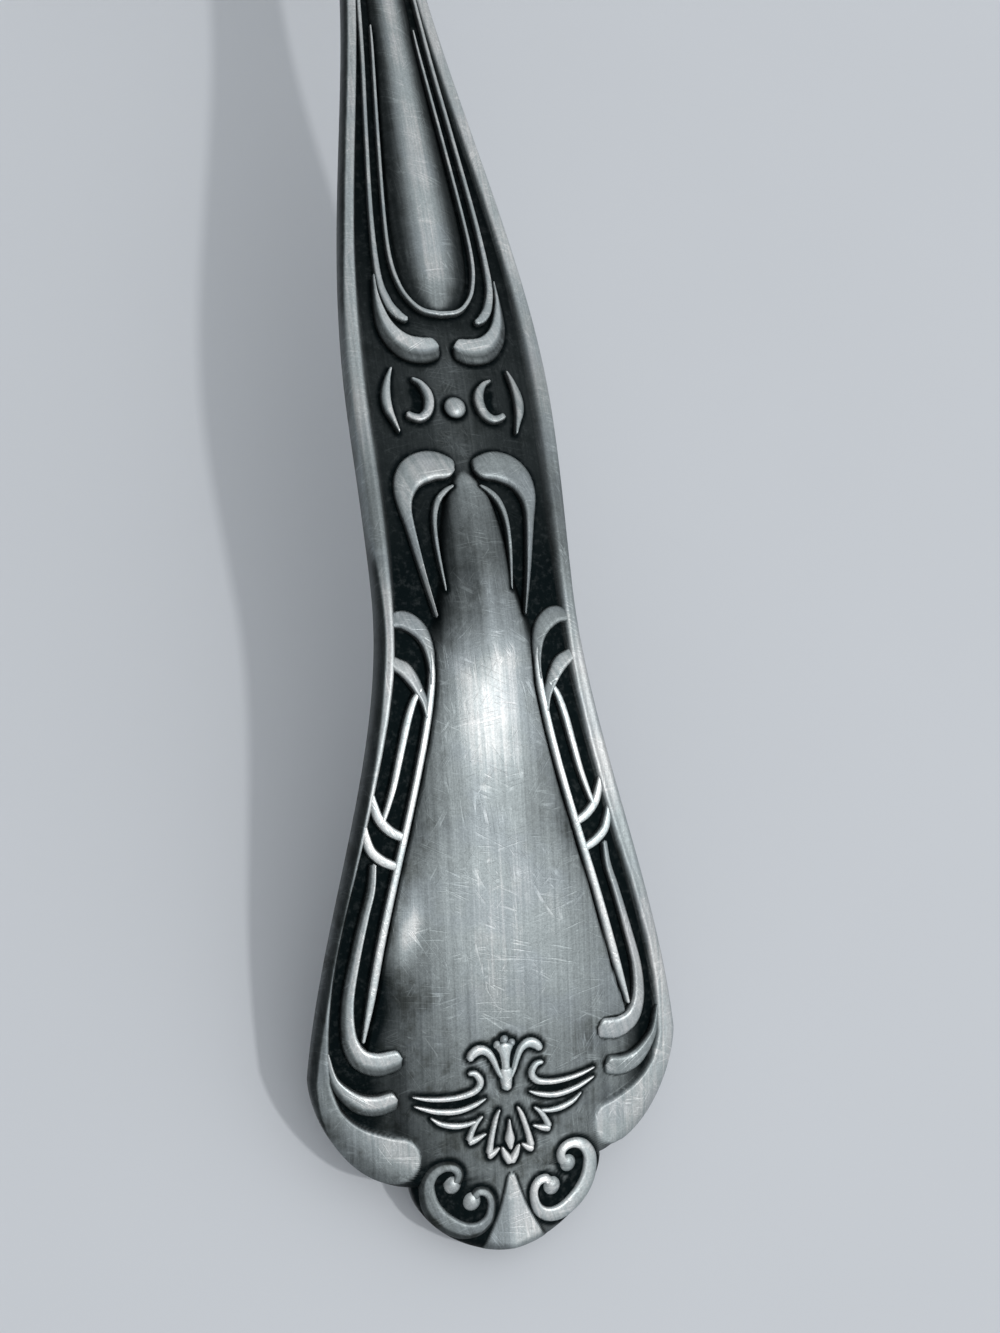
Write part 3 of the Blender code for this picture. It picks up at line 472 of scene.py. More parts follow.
def along(stations, table, column=1):
    """Smooth value at each station of a table, with no overshoot between its rows."""
    table = np.array(table, float)
    knots, values = table[:, 0], table[:, column]
    rises = np.diff(values) / np.diff(knots)
    turning = rises[1:] * rises[:-1] <= 0
    total = np.where(turning, 1.0, rises[1:] + rises[:-1])
    slopes = np.zeros_like(values)
    slopes[1:-1] = np.where(turning, 0.0, 2 * rises[1:] * rises[:-1] / total)
    span = np.clip(np.searchsorted(knots, stations, "right") - 1, 0, len(knots) - 2)
    width = np.diff(knots)[span]
    part = (stations - knots[span]) / width
    return hermite(part, values[span], values[span + 1], slopes[span] * width, slopes[span + 1] * width)


def quarter_round(t):
    """0 to 1 as t goes from 0 to 1, round at the start and a little flatter than an ellipse."""
    flatness = 1.75
    return (1 - (1 - np.clip(t, 0, 1)) ** flatness) ** (1 / flatness)


def turned(first, second, angle):
    """Two coordinates turned by an angle."""
    cosine, sine = np.cos(angle), np.sin(angle)
    return first * cosine - second * sine, first * sine + second * cosine


def rolled(part):
    """Fall of a rounded edge: 1 at the edge itself and 0 from where part reaches 1."""
    near = np.clip(1 - part, 0, 1)
    return 1 - np.sqrt(1 - near**2)


class HandleForm:
    """Outline, thickness, side profile and struck face of the handle, in millimetres."""

    def __init__(self, scene):
        angles = ("stem_rise", "tilt")
        groups = {"": scene.ladle_handle, "relief_": scene.ladle_relief, "bowl_": scene.ladle_bowl}
        for prefix, group in groups.items():
            for name in type(group).__annotations__:
                setattr(self, prefix + name, getattr(group, name) / (1 if name in angles else MM))
        self.tongue_radius = self.bowl_radius + 2 * self.bowl_joint_gap + self.bowl_solder
        at_bend = self.bowl_radius - self.bowl_depth + self.bend_radius * math.cos(self.stem_rise)
        bend_angle = math.acos(at_bend / (self.tongue_radius + self.bend_radius))
        self.bend_length = self.bend_radius * (bend_angle - self.stem_rise)
        self.tongue_start = self.length + self.bend_length
        self.end = self.tongue_start + self.bowl_tongue_length
        self.profile = self.side_profile(bend_angle)

    def side_profile(self, bend_angle):
        """Middle line of the struck face in the bowl's own frame: stations, y, z, outward elevation."""
        steps = 1200
        stations = np.linspace(0.0, self.end, steps + 1)
        droop = np.radians(through(stations, DROOP))
        droop[stations > DROOP[-1][0]] = 0.0
        past_stem = np.clip(stations - self.length, 0.0, self.bend_length)
        past_bend = np.clip(stations - self.tongue_start, 0.0, None)
        bend = self.stem_rise + past_stem / self.bend_radius
        rise = bend - past_bend / self.tongue_radius - droop
        middle = (rise[1:] + rise[:-1]) / 2
        run = self.end / steps
        y = np.concatenate([[0.0], np.cumsum(np.cos(middle) * run)])
        z = np.concatenate([[0.0], np.cumsum(-np.sin(middle) * run)])
        tongue_end = bend_angle - self.bowl_tongue_length / self.tongue_radius
        y += -self.tongue_radius * math.sin(tongue_end) - y[-1]
        z += -self.tongue_radius * math.cos(tongue_end) - z[-1]
        return stations, y, z, rise

    def half_width(self, stations):
        """Half-width of the handle at stations from the nose to the end of the tongue."""
        v = np.asarray(stations, float)
        nose = self.nose_half_width * quarter_round(v / self.nose_length)
        shoulder = (v - self.nose_length) / (self.flare_station - self.nose_length)
        swell = self.flare_half_width - self.nose_half_width
        flare = self.nose_half_width + swell * quarter_round(shoulder)
        knots = (
            (self.flare_station, self.flare_half_width),
            (self.waist_station, self.waist_half_width),
            (self.collar_station, self.collar_half_width),
            (self.neck_station, self.neck_half_width),
            (self.length, self.heel_half_width),
            (self.tongue_start, self.bowl_tongue_half_width),
        )
        pieces, limits = [nose, flare], [self.nose_length, self.flare_station]
        slope = -0.6 * (self.flare_half_width - self.waist_half_width)
        for (start, first), (end, last) in zip(knots, knots[1:]):
            pieces.append(hermite((v - start) / (end - start), first, last, slope))
            limits.append(end)
            slope = 0.0
        tongue = self.bowl_tongue_half_width * quarter_round((self.end - v) / self.bowl_tongue_length)
        return np.select([v < limit for limit in limits], pieces, tongue)

    def inset(self, offsets, stations):
        """Distance from the handle's edge, measured square to the outline."""
        step = 0.02
        ahead = self.half_width(np.minimum(stations + step, self.end))
        behind = self.half_width(np.maximum(stations - step, 0.0))
        slope = (ahead - behind) / (2 * step)
        return (self.half_width(stations) - np.abs(offsets)) / np.sqrt(1 + slope**2)

    def from_strike(self, offsets, stations):
        """Offsets measured from the middle line of the struck pattern."""
        return offsets - along(stations, STRIKE)

    def thickness(self, stations):
        """Thickness of the handle along its middle."""
        table = (
            (0.0, 0.85 * self.flare_thickness),
            (self.flare_station, self.flare_thickness),
            (self.collar_station, self.collar_thickness),
            (self.neck_station, self.neck_thickness),
            (self.length, self.neck_thickness),
            (self.tongue_start, 0.85 * self.neck_thickness),
            (self.end, self.bowl_tongue_tip),
        )
        return through(stations, table)

    def edge_thickness(self, stations):
        """Thickness of the handle at its edges."""
        table = (
            (0.0, self.flare_edge),
            (self.flare_station, self.flare_edge),
            (self.waist_station, self.waist_edge),
            (self.collar_station, (self.waist_edge + self.neck_edge) / 2),
            (self.neck_station, self.neck_edge),
            (self.length, self.heel_edge),
            (self.tongue_start, self.heel_edge),
            (self.end, self.bowl_tongue_edge),
        )
        return through(stations, table)

    def face_fall(self, offsets, stations):
        """How far the face lies below its middle line; on the tongue it wraps the bowl instead."""
        reach = 4 * self.bend_radius
        wrap = hermite((stations - (self.length - reach)) / reach, 0.0, 1.0)
        on_bowl = self.tongue_radius - np.sqrt(self.tongue_radius**2 - offsets**2)
        return (1 - wrap) * offsets**2 / (2 * self.crown_radius) - wrap * on_bowl

    def world(self, points):
        """Points of the bowl's own frame, in millimetres, as world points in metres."""
        x, y, z = np.moveaxis(np.asarray(points), -1, 0)
        lift = self.bowl_radius - self.bowl_base_flat
        y, z = turned(y, z, self.bowl_tilt)
        return np.stack([x, y, z + lift], axis=-1) * MM

    def on_face(self, offsets, stations, heights):
        """World points at heights over the handle's face."""
        offsets, stations, heights = np.broadcast_arrays(offsets, stations, heights)
        y, z, rise = (np.interp(stations, self.profile[0], column) for column in self.profile[1:])
        over = heights - self.face_fall(offsets, stations)
        return self.world(np.stack([offsets, y + np.sin(rise) * over, z + np.cos(rise) * over], axis=-1))

    def face_normal(self, offsets, stations):
        """Unit vectors square to the face, in the world."""
        rise = np.interp(stations, self.profile[0], self.profile[3])
        lean = np.broadcast_to(offsets / self.crown_radius, rise.shape)
        upright = np.stack([lean, np.sin(rise), np.cos(rise)], axis=-1)
        upright = self.world(upright) - self.world(np.zeros(3))
        return upright / np.linalg.norm(upright, axis=-1, keepdims=True)

    def back_heights(self, offsets, stations):
        """Height of the plain back, measured from the face above it, with its edges rounded."""
        middle = self.thickness(stations)
        across = offsets / self.half_width(stations)
        plain = -middle + (middle - self.edge_thickness(stations)) * across**2
        return plain + self.back_round * rolled(self.inset(offsets, stations) / self.back_round)

    def dome(self, offsets, stations, table):
        """Height of a dome on the middle line, and how far a point is from its middle to its foot."""
        width = np.maximum(along(stations, table, 1), 0.05)
        height = np.maximum(along(stations, table, 2), 0.0) * self.relief_dome
        section = along(stations, table, 3)
        across = np.abs(offsets) / width
        inside = (stations > table[0][0]) & (stations < table[-1][0])
        return np.where(inside, height * np.clip(1 - across**2, 0, 1) ** section, 0.0), across

    def panel_edge(self, stations):
        """Offset of the panel's border, just inside the line that frames it."""
        line = np.array(EDGE_REEDS["panel_line"])[::-1]
        line_inset = np.interp(stations, line[:, 1], line[:, 0] + line[:, 2] / 2) + 0.1
        return self.half_width(stations) - line_inset

    def field_share(self, offsets, stations):
        """1 on the plain grip panel and 0 in the channels beside it."""
        on_panel = ease(0.0, PANEL_WALL, self.panel_edge(stations) - np.abs(offsets))
        at_end = ease(*END_FIELD, np.abs(offsets))
        to_end = ease(*PANEL_TO_END, stations)
        return (on_panel * (1 - to_end) + at_end * to_end) * ease(*PANEL_TO_COLLAR, stations)

    def border(self, offsets, stations):
        """1 on the rim and its tongue, with a slope beside them, and the ridge inside the rim."""
        within = self.inset(offsets, stations) - along(stations, RIM_WALL)
        rim = ease(along(stations, RIM_SLOPE), RIM_CREST, within)
        rim = rim * np.clip(along(stations, RIM_HEIGHT), 0, 1)
        near = np.flatnonzero(stations.ravel() < TONGUE_STATIONS)
        path = stroke_path(self, END_TONGUE, False, rounded=False)
        gap = np.full(rim.size, np.inf)
        gap[near] = gap_to_path(np.abs(offsets).ravel()[near], stations.ravel()[near], path)
        crest = np.exp(-(((within + RIDGE_INSET) / RIDGE_WIDTH) ** 2))
        ridge = rim * crest * ease(*RIDGE_START, stations)
        return np.maximum(rim, ease(*TONGUE_SLOPE, gap.reshape(rim.shape))), ridge

    def fan_share(self, offsets, stations):
        """1 on the fan that opens towards the nose."""
        beside = np.abs(offsets) - along(stations, END_FAN)
        return ease(*FAN_SLOPE, beside) * (stations < END_FAN[-1][0])

    def struck_heights(self, offsets, stations):
        """Height of the struck ground, the rim, the tongue, the fan and the domes over the face."""
        inset = self.inset(offsets, stations)
        offsets = self.from_strike(offsets, stations)
        grip, on_grip = self.dome(offsets, stations, GRIP_DOME)
        under_grip = ease(1.05, 0.8, on_grip) * ease(*GRIP_TOP, stations) * ease(*GRIP_BOTTOM, stations)
        raised = np.maximum(self.field_share(offsets, stations), under_grip)
        sunk = (1 - raised) * self.relief_channel * (1 - ease(*PLAIN_STEM, stations))
        ground = raised * self.relief_field - sunk
        domes = self.dome(offsets, stations, STEM_DOME)[0] + grip
        border, ridge = self.border(offsets, stations)
        fan = self.fan_share(offsets, stations)
        full = np.maximum(along(stations, RIM_HEIGHT), stations < TONGUE_STATIONS)
        crest = np.maximum(full * self.relief_crest, ground)
        heights = (ground + domes) * (1 - border) + crest * border
        heights = np.maximum(heights, 0.9 * fan * self.relief_crest + (1 - fan) * heights)
        before_tip = ease(self.end, self.length, stations)
        roll = along(stations, EDGE_ROLL) * before_tip + 0.01
        return heights + self.relief_ridge * ridge - self.edge_round * before_tip * rolled(inset / roll)


def run_along(path):
    """Distance along a path at each of its points."""
    steps = np.linalg.norm(np.diff(path[:, :2], axis=0), axis=1)
    return np.concatenate([[0.0], np.cumsum(steps)])


def gap_to_path(offsets, stations, path):
    """Distance of points on the face to a stroke's foot, less than 0 inside it."""
    gaps = np.empty(offsets.shape)
    for block in np.array_split(np.arange(len(offsets)), max(1, len(offsets) // 8000)):
        across = offsets[block, None] - path[None, :, 0]
        ahead = stations[block, None] - path[None, :, 1]
        gaps[block] = (np.sqrt(across**2 + ahead**2) - path[None, :, 2]).min(axis=1)
    return gaps


def stroke_path(form, points, from_edge, rounded=True):
    """A stroke sampled along its length: offset, station, half-width and how full it is."""
    path = smooth_through(points, 16)
    if from_edge:
        path[:, 0] = form.half_width(path[:, 1]) - path[:, 0]
    run = run_along(path)
    length = run[-1]
    count = max(int(length / STROKE_SPACING), 8)
    even = np.linspace(0.0, 1.0, count + (9 if rounded else 1))
    if rounded:
        crowded = (1 - np.cos(math.pi * even)) / 2
        even = END_CROWDING * crowded + (1 - END_CROWDING) * even
    even = length * even
    offset, station, width = (np.interp(even, run, column) for column in path.T)
    fullness = np.ones_like(even)
    if rounded:
        for from_end, end_width in ((even, width[0]), (length - even, width[-1])):
            fullness *= 1 - rolled(from_end / max(END_ROUND * end_width, LEAST_ROUND))
    half = width / 2 * np.maximum(fullness, LEAST_FULLNESS)
    return np.stack([offset, station, half, fullness], axis=1)


GROUP_TABLES = (
    ("reeds", EDGE_REEDS, True),
    ("reeds", SIDE_REEDS, False),
    ("scrolls", EDGE_HOOKS, True),
    ("scrolls", SIDE_SCROLLS, False),
    ("scrolls", SIDE_CRESCENTS, False),
    ("palmette", PALMETTE, False),
    ("palmette_middle", PALMETTE_MIDDLE, False),
)


def all_paths(form):
    """Every stroke of one side of the handle with its name, by group."""
    groups = {}
    for group, strokes, from_edge in GROUP_TABLES:
        for name, points in strokes.items():
            groups.setdefault(group, []).append((name, stroke_path(form, points, from_edge)))
    return groups


def foot_shade(form, offsets, stations):
    """1 in a hollow and at the foot of a stroke or a pearl, easing to 0 across the oxide around it."""
    sources = [item for group in all_paths(form).values() for item in group]
    sources += [(name, stroke_path(form, points, False)) for name, points in HOLLOWS.items()]
    sources += [("pearl", np.array([[abs(pearl[0]), *pearl[1:]]])) for pearl in PEARLS]
    nearest = np.ones(offsets.shape)
    x = np.abs(offsets)
    for name, path in sources:
        halo = HALO.get(name, USUAL_HALO)
        run = run_along(path)
        if len(path) > 1:
            path[:, 2] = np.minimum(path[:, 2], np.minimum(run, run[-1] - run))
        reach = halo + path[:, 2].max()
        low = path[:, :2].min(axis=0) - reach
        high = path[:, :2].max(axis=0) + reach
        near = (x > low[0]) & (x < high[0]) & (stations > low[1]) & (stations < high[1])
        picked = np.flatnonzero(near)
        gap = gap_to_path(x[picked], stations[picked], path) / halo
        nearest[picked] = np.minimum(nearest[picked], gap)
    return ease(1.0, 0.3, nearest)


def plain_mesh(name, points, faces):
    """Mesh from points in metres, shaded smooth."""
    mesh = bpy.data.meshes.new(name)
    mesh.from_pydata(points, [], faces)
    mesh.shade_smooth()
    mesh.update()
    return mesh


def ring_faces(rows, count):
    """Faces between neighbouring rings of count points each."""
    first = (np.arange(rows - 1) * count)[:, None]
    i = np.arange(count)
    j = (i + 1) % count
    corners = (first + i, first + j, first + count + j, first + count + i)
    return np.stack(np.broadcast_arrays(*corners), axis=-1).reshape(-1, 4).tolist()


def lofted(name, rings):
    """Closed mesh through rings of points, capped at both ends."""
    rows, count = rings.shape[:2]
    caps = [list(range(count))[::-1], list(range((rows - 1) * count, rows * count))]
    mesh = plain_mesh(name, rings.reshape(-1, 3), ring_faces(rows, count) + caps)
    outward(mesh)
    return mesh


def new_piece(name, mesh, material):
    """An object in the scene with one material."""
    mesh.materials.clear()
    mesh.materials.append(material)
    piece = bpy.data.objects.new(name, mesh)
    bpy.context.scene.collection.objects.link(piece)
    return piece


def hand_over(piece, node):
    """Ties a finished piece to the CAD model."""
    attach(piece, BODY)
    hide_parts(node)


def outward(mesh):
    """Turns the faces of closed shapes outwards."""
    shape = bmesh.new()
    shape.from_mesh(mesh)
    bmesh.ops.recalc_face_normals(shape, faces=shape.faces)
    shape.to_mesh(mesh)
    shape.free()


def set_values(mesh, name, values):
    """Stores a number or a vector for each point of a mesh."""
    values = np.asarray(values, np.float32)
    vector = values.ndim == 2
    layer = mesh.attributes.new(name, "FLOAT_VECTOR" if vector else "FLOAT", "POINT")
    layer.data.foreach_set("vector" if vector else "value", values.ravel())


class Wiring:
    """Adds nodes to a tree and wires them up."""

    def __init__(self, tree):
        self.tree = tree

    def add(self, kind, inputs=None, **settings):
        """A new node, with its settings and with values or links for its inputs."""
        node = self.tree.nodes.new(kind)
        for name, value in settings.items():
            setattr(node, name, value)
        for key, value in (inputs or {}).items():
            if isinstance(value, bpy.types.NodeSocket):
                self.tree.links.new(value, node.inputs[key])
            else:
                node.inputs[key].default_value = value
        return node

    def out(self, kind, inputs=None, **settings):
        """First output of a new node."""
        return self.add(kind, inputs, **settings).outputs[0]

    def calc(self, operation, first, second=0.0, clamp=False):
        """Output of a Math node."""
        return self.out("ShaderNodeMath", {0: first, 1: second}, operation=operation, use_clamp=clamp)

    def total(self, first, *others):
        """Sum of all values."""
        for value in others:
            first = self.calc("ADD", first, value)
        return first

    def product(self, first, *others):
        """Product of all values."""
        for value in others:
            first = self.calc("MULTIPLY", first, value)
        return first

    def less(self, first, second, clamp=False):
        """First value less the second."""
        return self.calc("SUBTRACT", first, second, clamp)

    def span(self, value, low, high, first=0.0, last=1.0):
        """Smooth step from first to last as a value goes from low to high."""
        inputs = {0: value, 1: low, 2: high, 3: first, 4: last}
        return self.out("ShaderNodeMapRange", inputs, interpolation_type="SMOOTHSTEP")

    def scaled(self, vector, factor):
        """A vector or colour times a number."""
        return self.out("ShaderNodeVectorMath", {0: vector, "Scale": factor}, operation="SCALE")

    def part(self, vector, axis):
        """One coordinate of a vector."""
        return self.add("ShaderNodeSeparateXYZ", {0: vector}).outputs[axis]

    def named(self, name, kind="FLOAT"):
        """A named attribute in a Geometry Nodes tree."""
        return self.out("GeometryNodeInputNamedAttribute", {"Name": name}, data_type=kind)

    def store(self, geometry, name, value):
        """Geometry with a number stored at each point."""
        inputs = {"Geometry": geometry, "Name": name, "Value": value}
        return self.out("GeometryNodeStoreNamedAttribute", inputs, data_type="FLOAT", domain="POINT")

    def finish(self, geometry, material):
        """Ends a Geometry Nodes tree in real geometry, shaded smooth, with its material."""
        real = self.out("GeometryNodeRealizeInstances", {"Geometry": geometry})
        smooth = self.out("GeometryNodeSetShadeSmooth", {"Geometry": real})
        done = self.out("GeometryNodeSetMaterial", {"Geometry": smooth, "Material": material})
        self.add("NodeGroupOutput", {0: done})
        return self.tree


def new_tree(name, inputs):
    """Wiring of an empty Geometry Nodes tree, and the outputs of its named inputs."""
    tree = bpy.data.node_groups.new(name, "GeometryNodeTree")
    tree.interface.new_socket("Geometry", in_out="OUTPUT", socket_type="NodeSocketGeometry")
    tree.interface.new_socket("Geometry", in_out="INPUT", socket_type="NodeSocketGeometry")
    for label, kind, default in inputs:
        socket = tree.interface.new_socket(label, in_out="INPUT", socket_type=kind)
        if default is not None:
            socket.default_value = default
    wire = Wiring(tree)
    return wire, wire.add("NodeGroupInput").outputs


def stroke_tree():
    """Sweeps a rounded section along paths that carry their place, side, up, half_width and rise."""
    inputs = (
        ("Points across", "NodeSocketInt", 13),
        ("Fullness", "NodeSocketFloat", 2.4),
        ("Sink", "NodeSocketFloat", 0.00035),
        ("Mirrored", "NodeSocketBool", True),
        ("Finish", "NodeSocketMaterial", None),
    )
    wire, given = new_tree("Struck strokes", inputs)
    line = wire.out("GeometryNodeCurvePrimitiveLine")
    profile = wire.out("GeometryNodeResampleCurve", {"Curve": line, "Count": given["Points across"]})
    last = wire.less(given["Points across"], 1.0)
    index = wire.out("GeometryNodeInputIndex")
    across = wire.calc("COSINE", wire.product(wire.calc("DIVIDE", index, last), math.pi))
    fallen = wire.calc("POWER", wire.calc("ABSOLUTE", across), given["Fullness"])
    root = wire.calc("DIVIDE", 1.0, given["Fullness"])
    arch = wire.calc("POWER", wire.less(1.0, fallen, clamp=True), root)
    profile = wire.store(wire.store(profile, "across", across), "arch", arch)
    profile = wire.out("GeometryNodeSetSplineCyclic", {"Geometry": profile, "Cyclic": True})
    paths = wire.out("GeometryNodeMeshToCurve", {"Mesh": given["Geometry"]})
    sweep = {"Curve": paths, "Profile Curve": profile, "Fill Caps": True}
    swept = wire.out("GeometryNodeCurveToMesh", sweep)

    numbers = ("across", "arch", "slant", "half_width", "rise")
    across, arch, slant, half_width, rise = (wire.named(name) for name in numbers)
    place, side, up = (wire.named(name, "FLOAT_VECTOR") for name in ("place", "side", "up"))
    sideways = wire.scaled(side, wire.product(half_width, across))
    sloped = wire.total(wire.product(slant, across), 1.0)
    height = wire.product(wire.total(wire.product(rise, sloped), given["Sink"]), arch)
    upwards = wire.scaled(up, wire.less(height, given["Sink"]))
    beside = wire.out("ShaderNodeVectorMath", {0: place, 1: sideways}, operation="ADD")
    moved = wire.out("ShaderNodeVectorMath", {0: beside, 1: upwards}, operation="ADD")
    swept = wire.out("GeometryNodeSetPosition", {"Geometry": swept, "Position": moved})
    outer_flank = wire.span(across, *OUTER_FLANK)

    # tarnish and painted shade on the strokes, darker on the flanks away from the lamp
    def tarnished_and_shaded(geometry, hand):
        foot = wire.span(arch, *STROKE_FOOT, 1.0, wire.named(hand + "_top"))
        flank = wire.product(wire.named(hand + "_flank"), outer_flank)
        return wire.store(geometry, "patina_and_shade", wire.calc("MAXIMUM", foot, flank))

    other = wire.out("GeometryNodeTransform", {"Geometry": swept, "Scale": (-1.0, 1.0, 1.0)})
    other = tarnished_and_shaded(wire.out("GeometryNodeFlipFaces", {"Mesh": other}), "left")
    swept = tarnished_and_shaded(swept, "right")
    both = wire.add("GeometryNodeJoinGeometry")
    for half in (swept, other):
        wire.tree.links.new(half, both.inputs[0])
    choice = {"Switch": given["Mirrored"], "False": swept, "True": both.outputs[0]}
    chosen = wire.out("GeometryNodeSwitch", choice, input_type="GEOMETRY")
    off_middle = wire.out("ShaderNodeCombineXYZ", {0: wire.named("strike")})
    chosen = wire.out("GeometryNodeSetPosition", {"Geometry": chosen, "Offset": off_middle})
    return wire.finish(chosen, given["Finish"])


def pearl_tree():
    """Sets a round pearl on each point, turned to its up vector and sized by its scale."""
    inputs = (
        ("Segments", "NodeSocketInt", 40),
        ("Rings", "NodeSocketInt", 24),
        ("Finish", "NodeSocketMaterial", None),
    )
    wire, given = new_tree("Struck pearls", inputs)
    counts = {"Segments": given["Segments"], "Rings": given["Rings"], "Radius": 1.0}
    ball = wire.out("GeometryNodeMeshUVSphere", counts)
    height = wire.part(wire.out("GeometryNodeInputPosition"), 2)
    ball = wire.store(ball, "patina_and_shade", wire.span(height, *PEARL_OXIDE))
    points = wire.out("GeometryNodeMeshToPoints", {"Mesh": given["Geometry"]})
    up, scale = (wire.named(name, "FLOAT_VECTOR") for name in ("up", "scale"))
    facing = wire.out("FunctionNodeAlignRotationToVector", {"Vector": up}, axis="Z")
    pearls = {"Points": points, "Instance": ball, "Rotation": facing, "Scale": scale}
    placed = wire.out("GeometryNodeInstanceOnPoints", pearls)
    return wire.finish(placed, given["Finish"])


def grown(name, mesh, tree, values):
    """Plain mesh that a tree makes from a guide mesh, with the tree's inputs set by name."""
    guide = bpy.data.objects.new(name + "_guide", mesh)
    bpy.context.scene.collection.objects.link(guide)
    modifier = guide.modifiers.new("grow", "NODES")
    modifier.node_group = tree
    for item in tree.interface.items_tree:
        if item.in_out == "INPUT" and item.name in values:
            modifier[item.identifier] = values[item.name]
    graph = bpy.context.evaluated_depsgraph_get()
    made = bpy.data.meshes.new_from_object(guide.evaluated_get(graph))
    made.name = name
    guide.modifiers.remove(modifier)
    bpy.data.objects.remove(guide)
    if not made.polygons:
        raise RuntimeError(f"the tree made no faces for {name}")
    for label in (*STROKE_VALUES, "across", "arch", "scale"):
        layer = made.attributes.get(label)
        if layer:
            made.attributes.remove(layer)
    return made


def guide_mesh(name, points, edges, attributes):
    """Points and edges that carry named values for a Geometry Nodes tree."""
    mesh = bpy.data.meshes.new(name)
    mesh.from_pydata(points, edges, [])
    for label, values in attributes.items():
        set_values(mesh, label, values)
    return mesh


STROKE_TARNISH_AND_SHADE = ("right_top", "right_flank", "left_top", "left_flank")
STROKE_VALUES = ("place", "side", "up", "half_width", "rise", "slant", "strike", *STROKE_TARNISH_AND_SHADE)


def stroke_guides(form, name, paths, level, rise):
    """Guide mesh of strokes: one chain of edges for each, with what the tree needs at every point."""
    edges, gathered = [], []
    first = 0
    for stroke, path in paths:
        offset, station, half, full = path.T
        place = form.on_face(offset, station, level)
        up = form.face_normal(offset, station)
        side = np.cross(up, np.gradient(place, axis=0))
        side /= np.linalg.norm(side, axis=1, keepdims=True)
        # tarnish and painted shade for each side of the stroke
        wear = [np.full(len(place), amount) for amount in TARNISH_AND_SHADE.get(stroke, (0.0, 0.0, 0.0, 0.0))]
        slant = np.full(len(place), SLANT.get(stroke, 0.0))
        lift = rise * MM * (0.7 + 0.3 * full)
        gathered.append((place, side, up, half * MM, lift, slant, along(station, STRIKE) * MM, *wear))
        edges.extend((first + i, first + i + 1) for i in range(len(place) - 1))
        first += len(place)
    attributes = {key: np.concatenate(values) for key, values in zip(STROKE_VALUES, zip(*gathered))}
    return guide_mesh(name, attributes["place"].tolist(), edges, attributes)


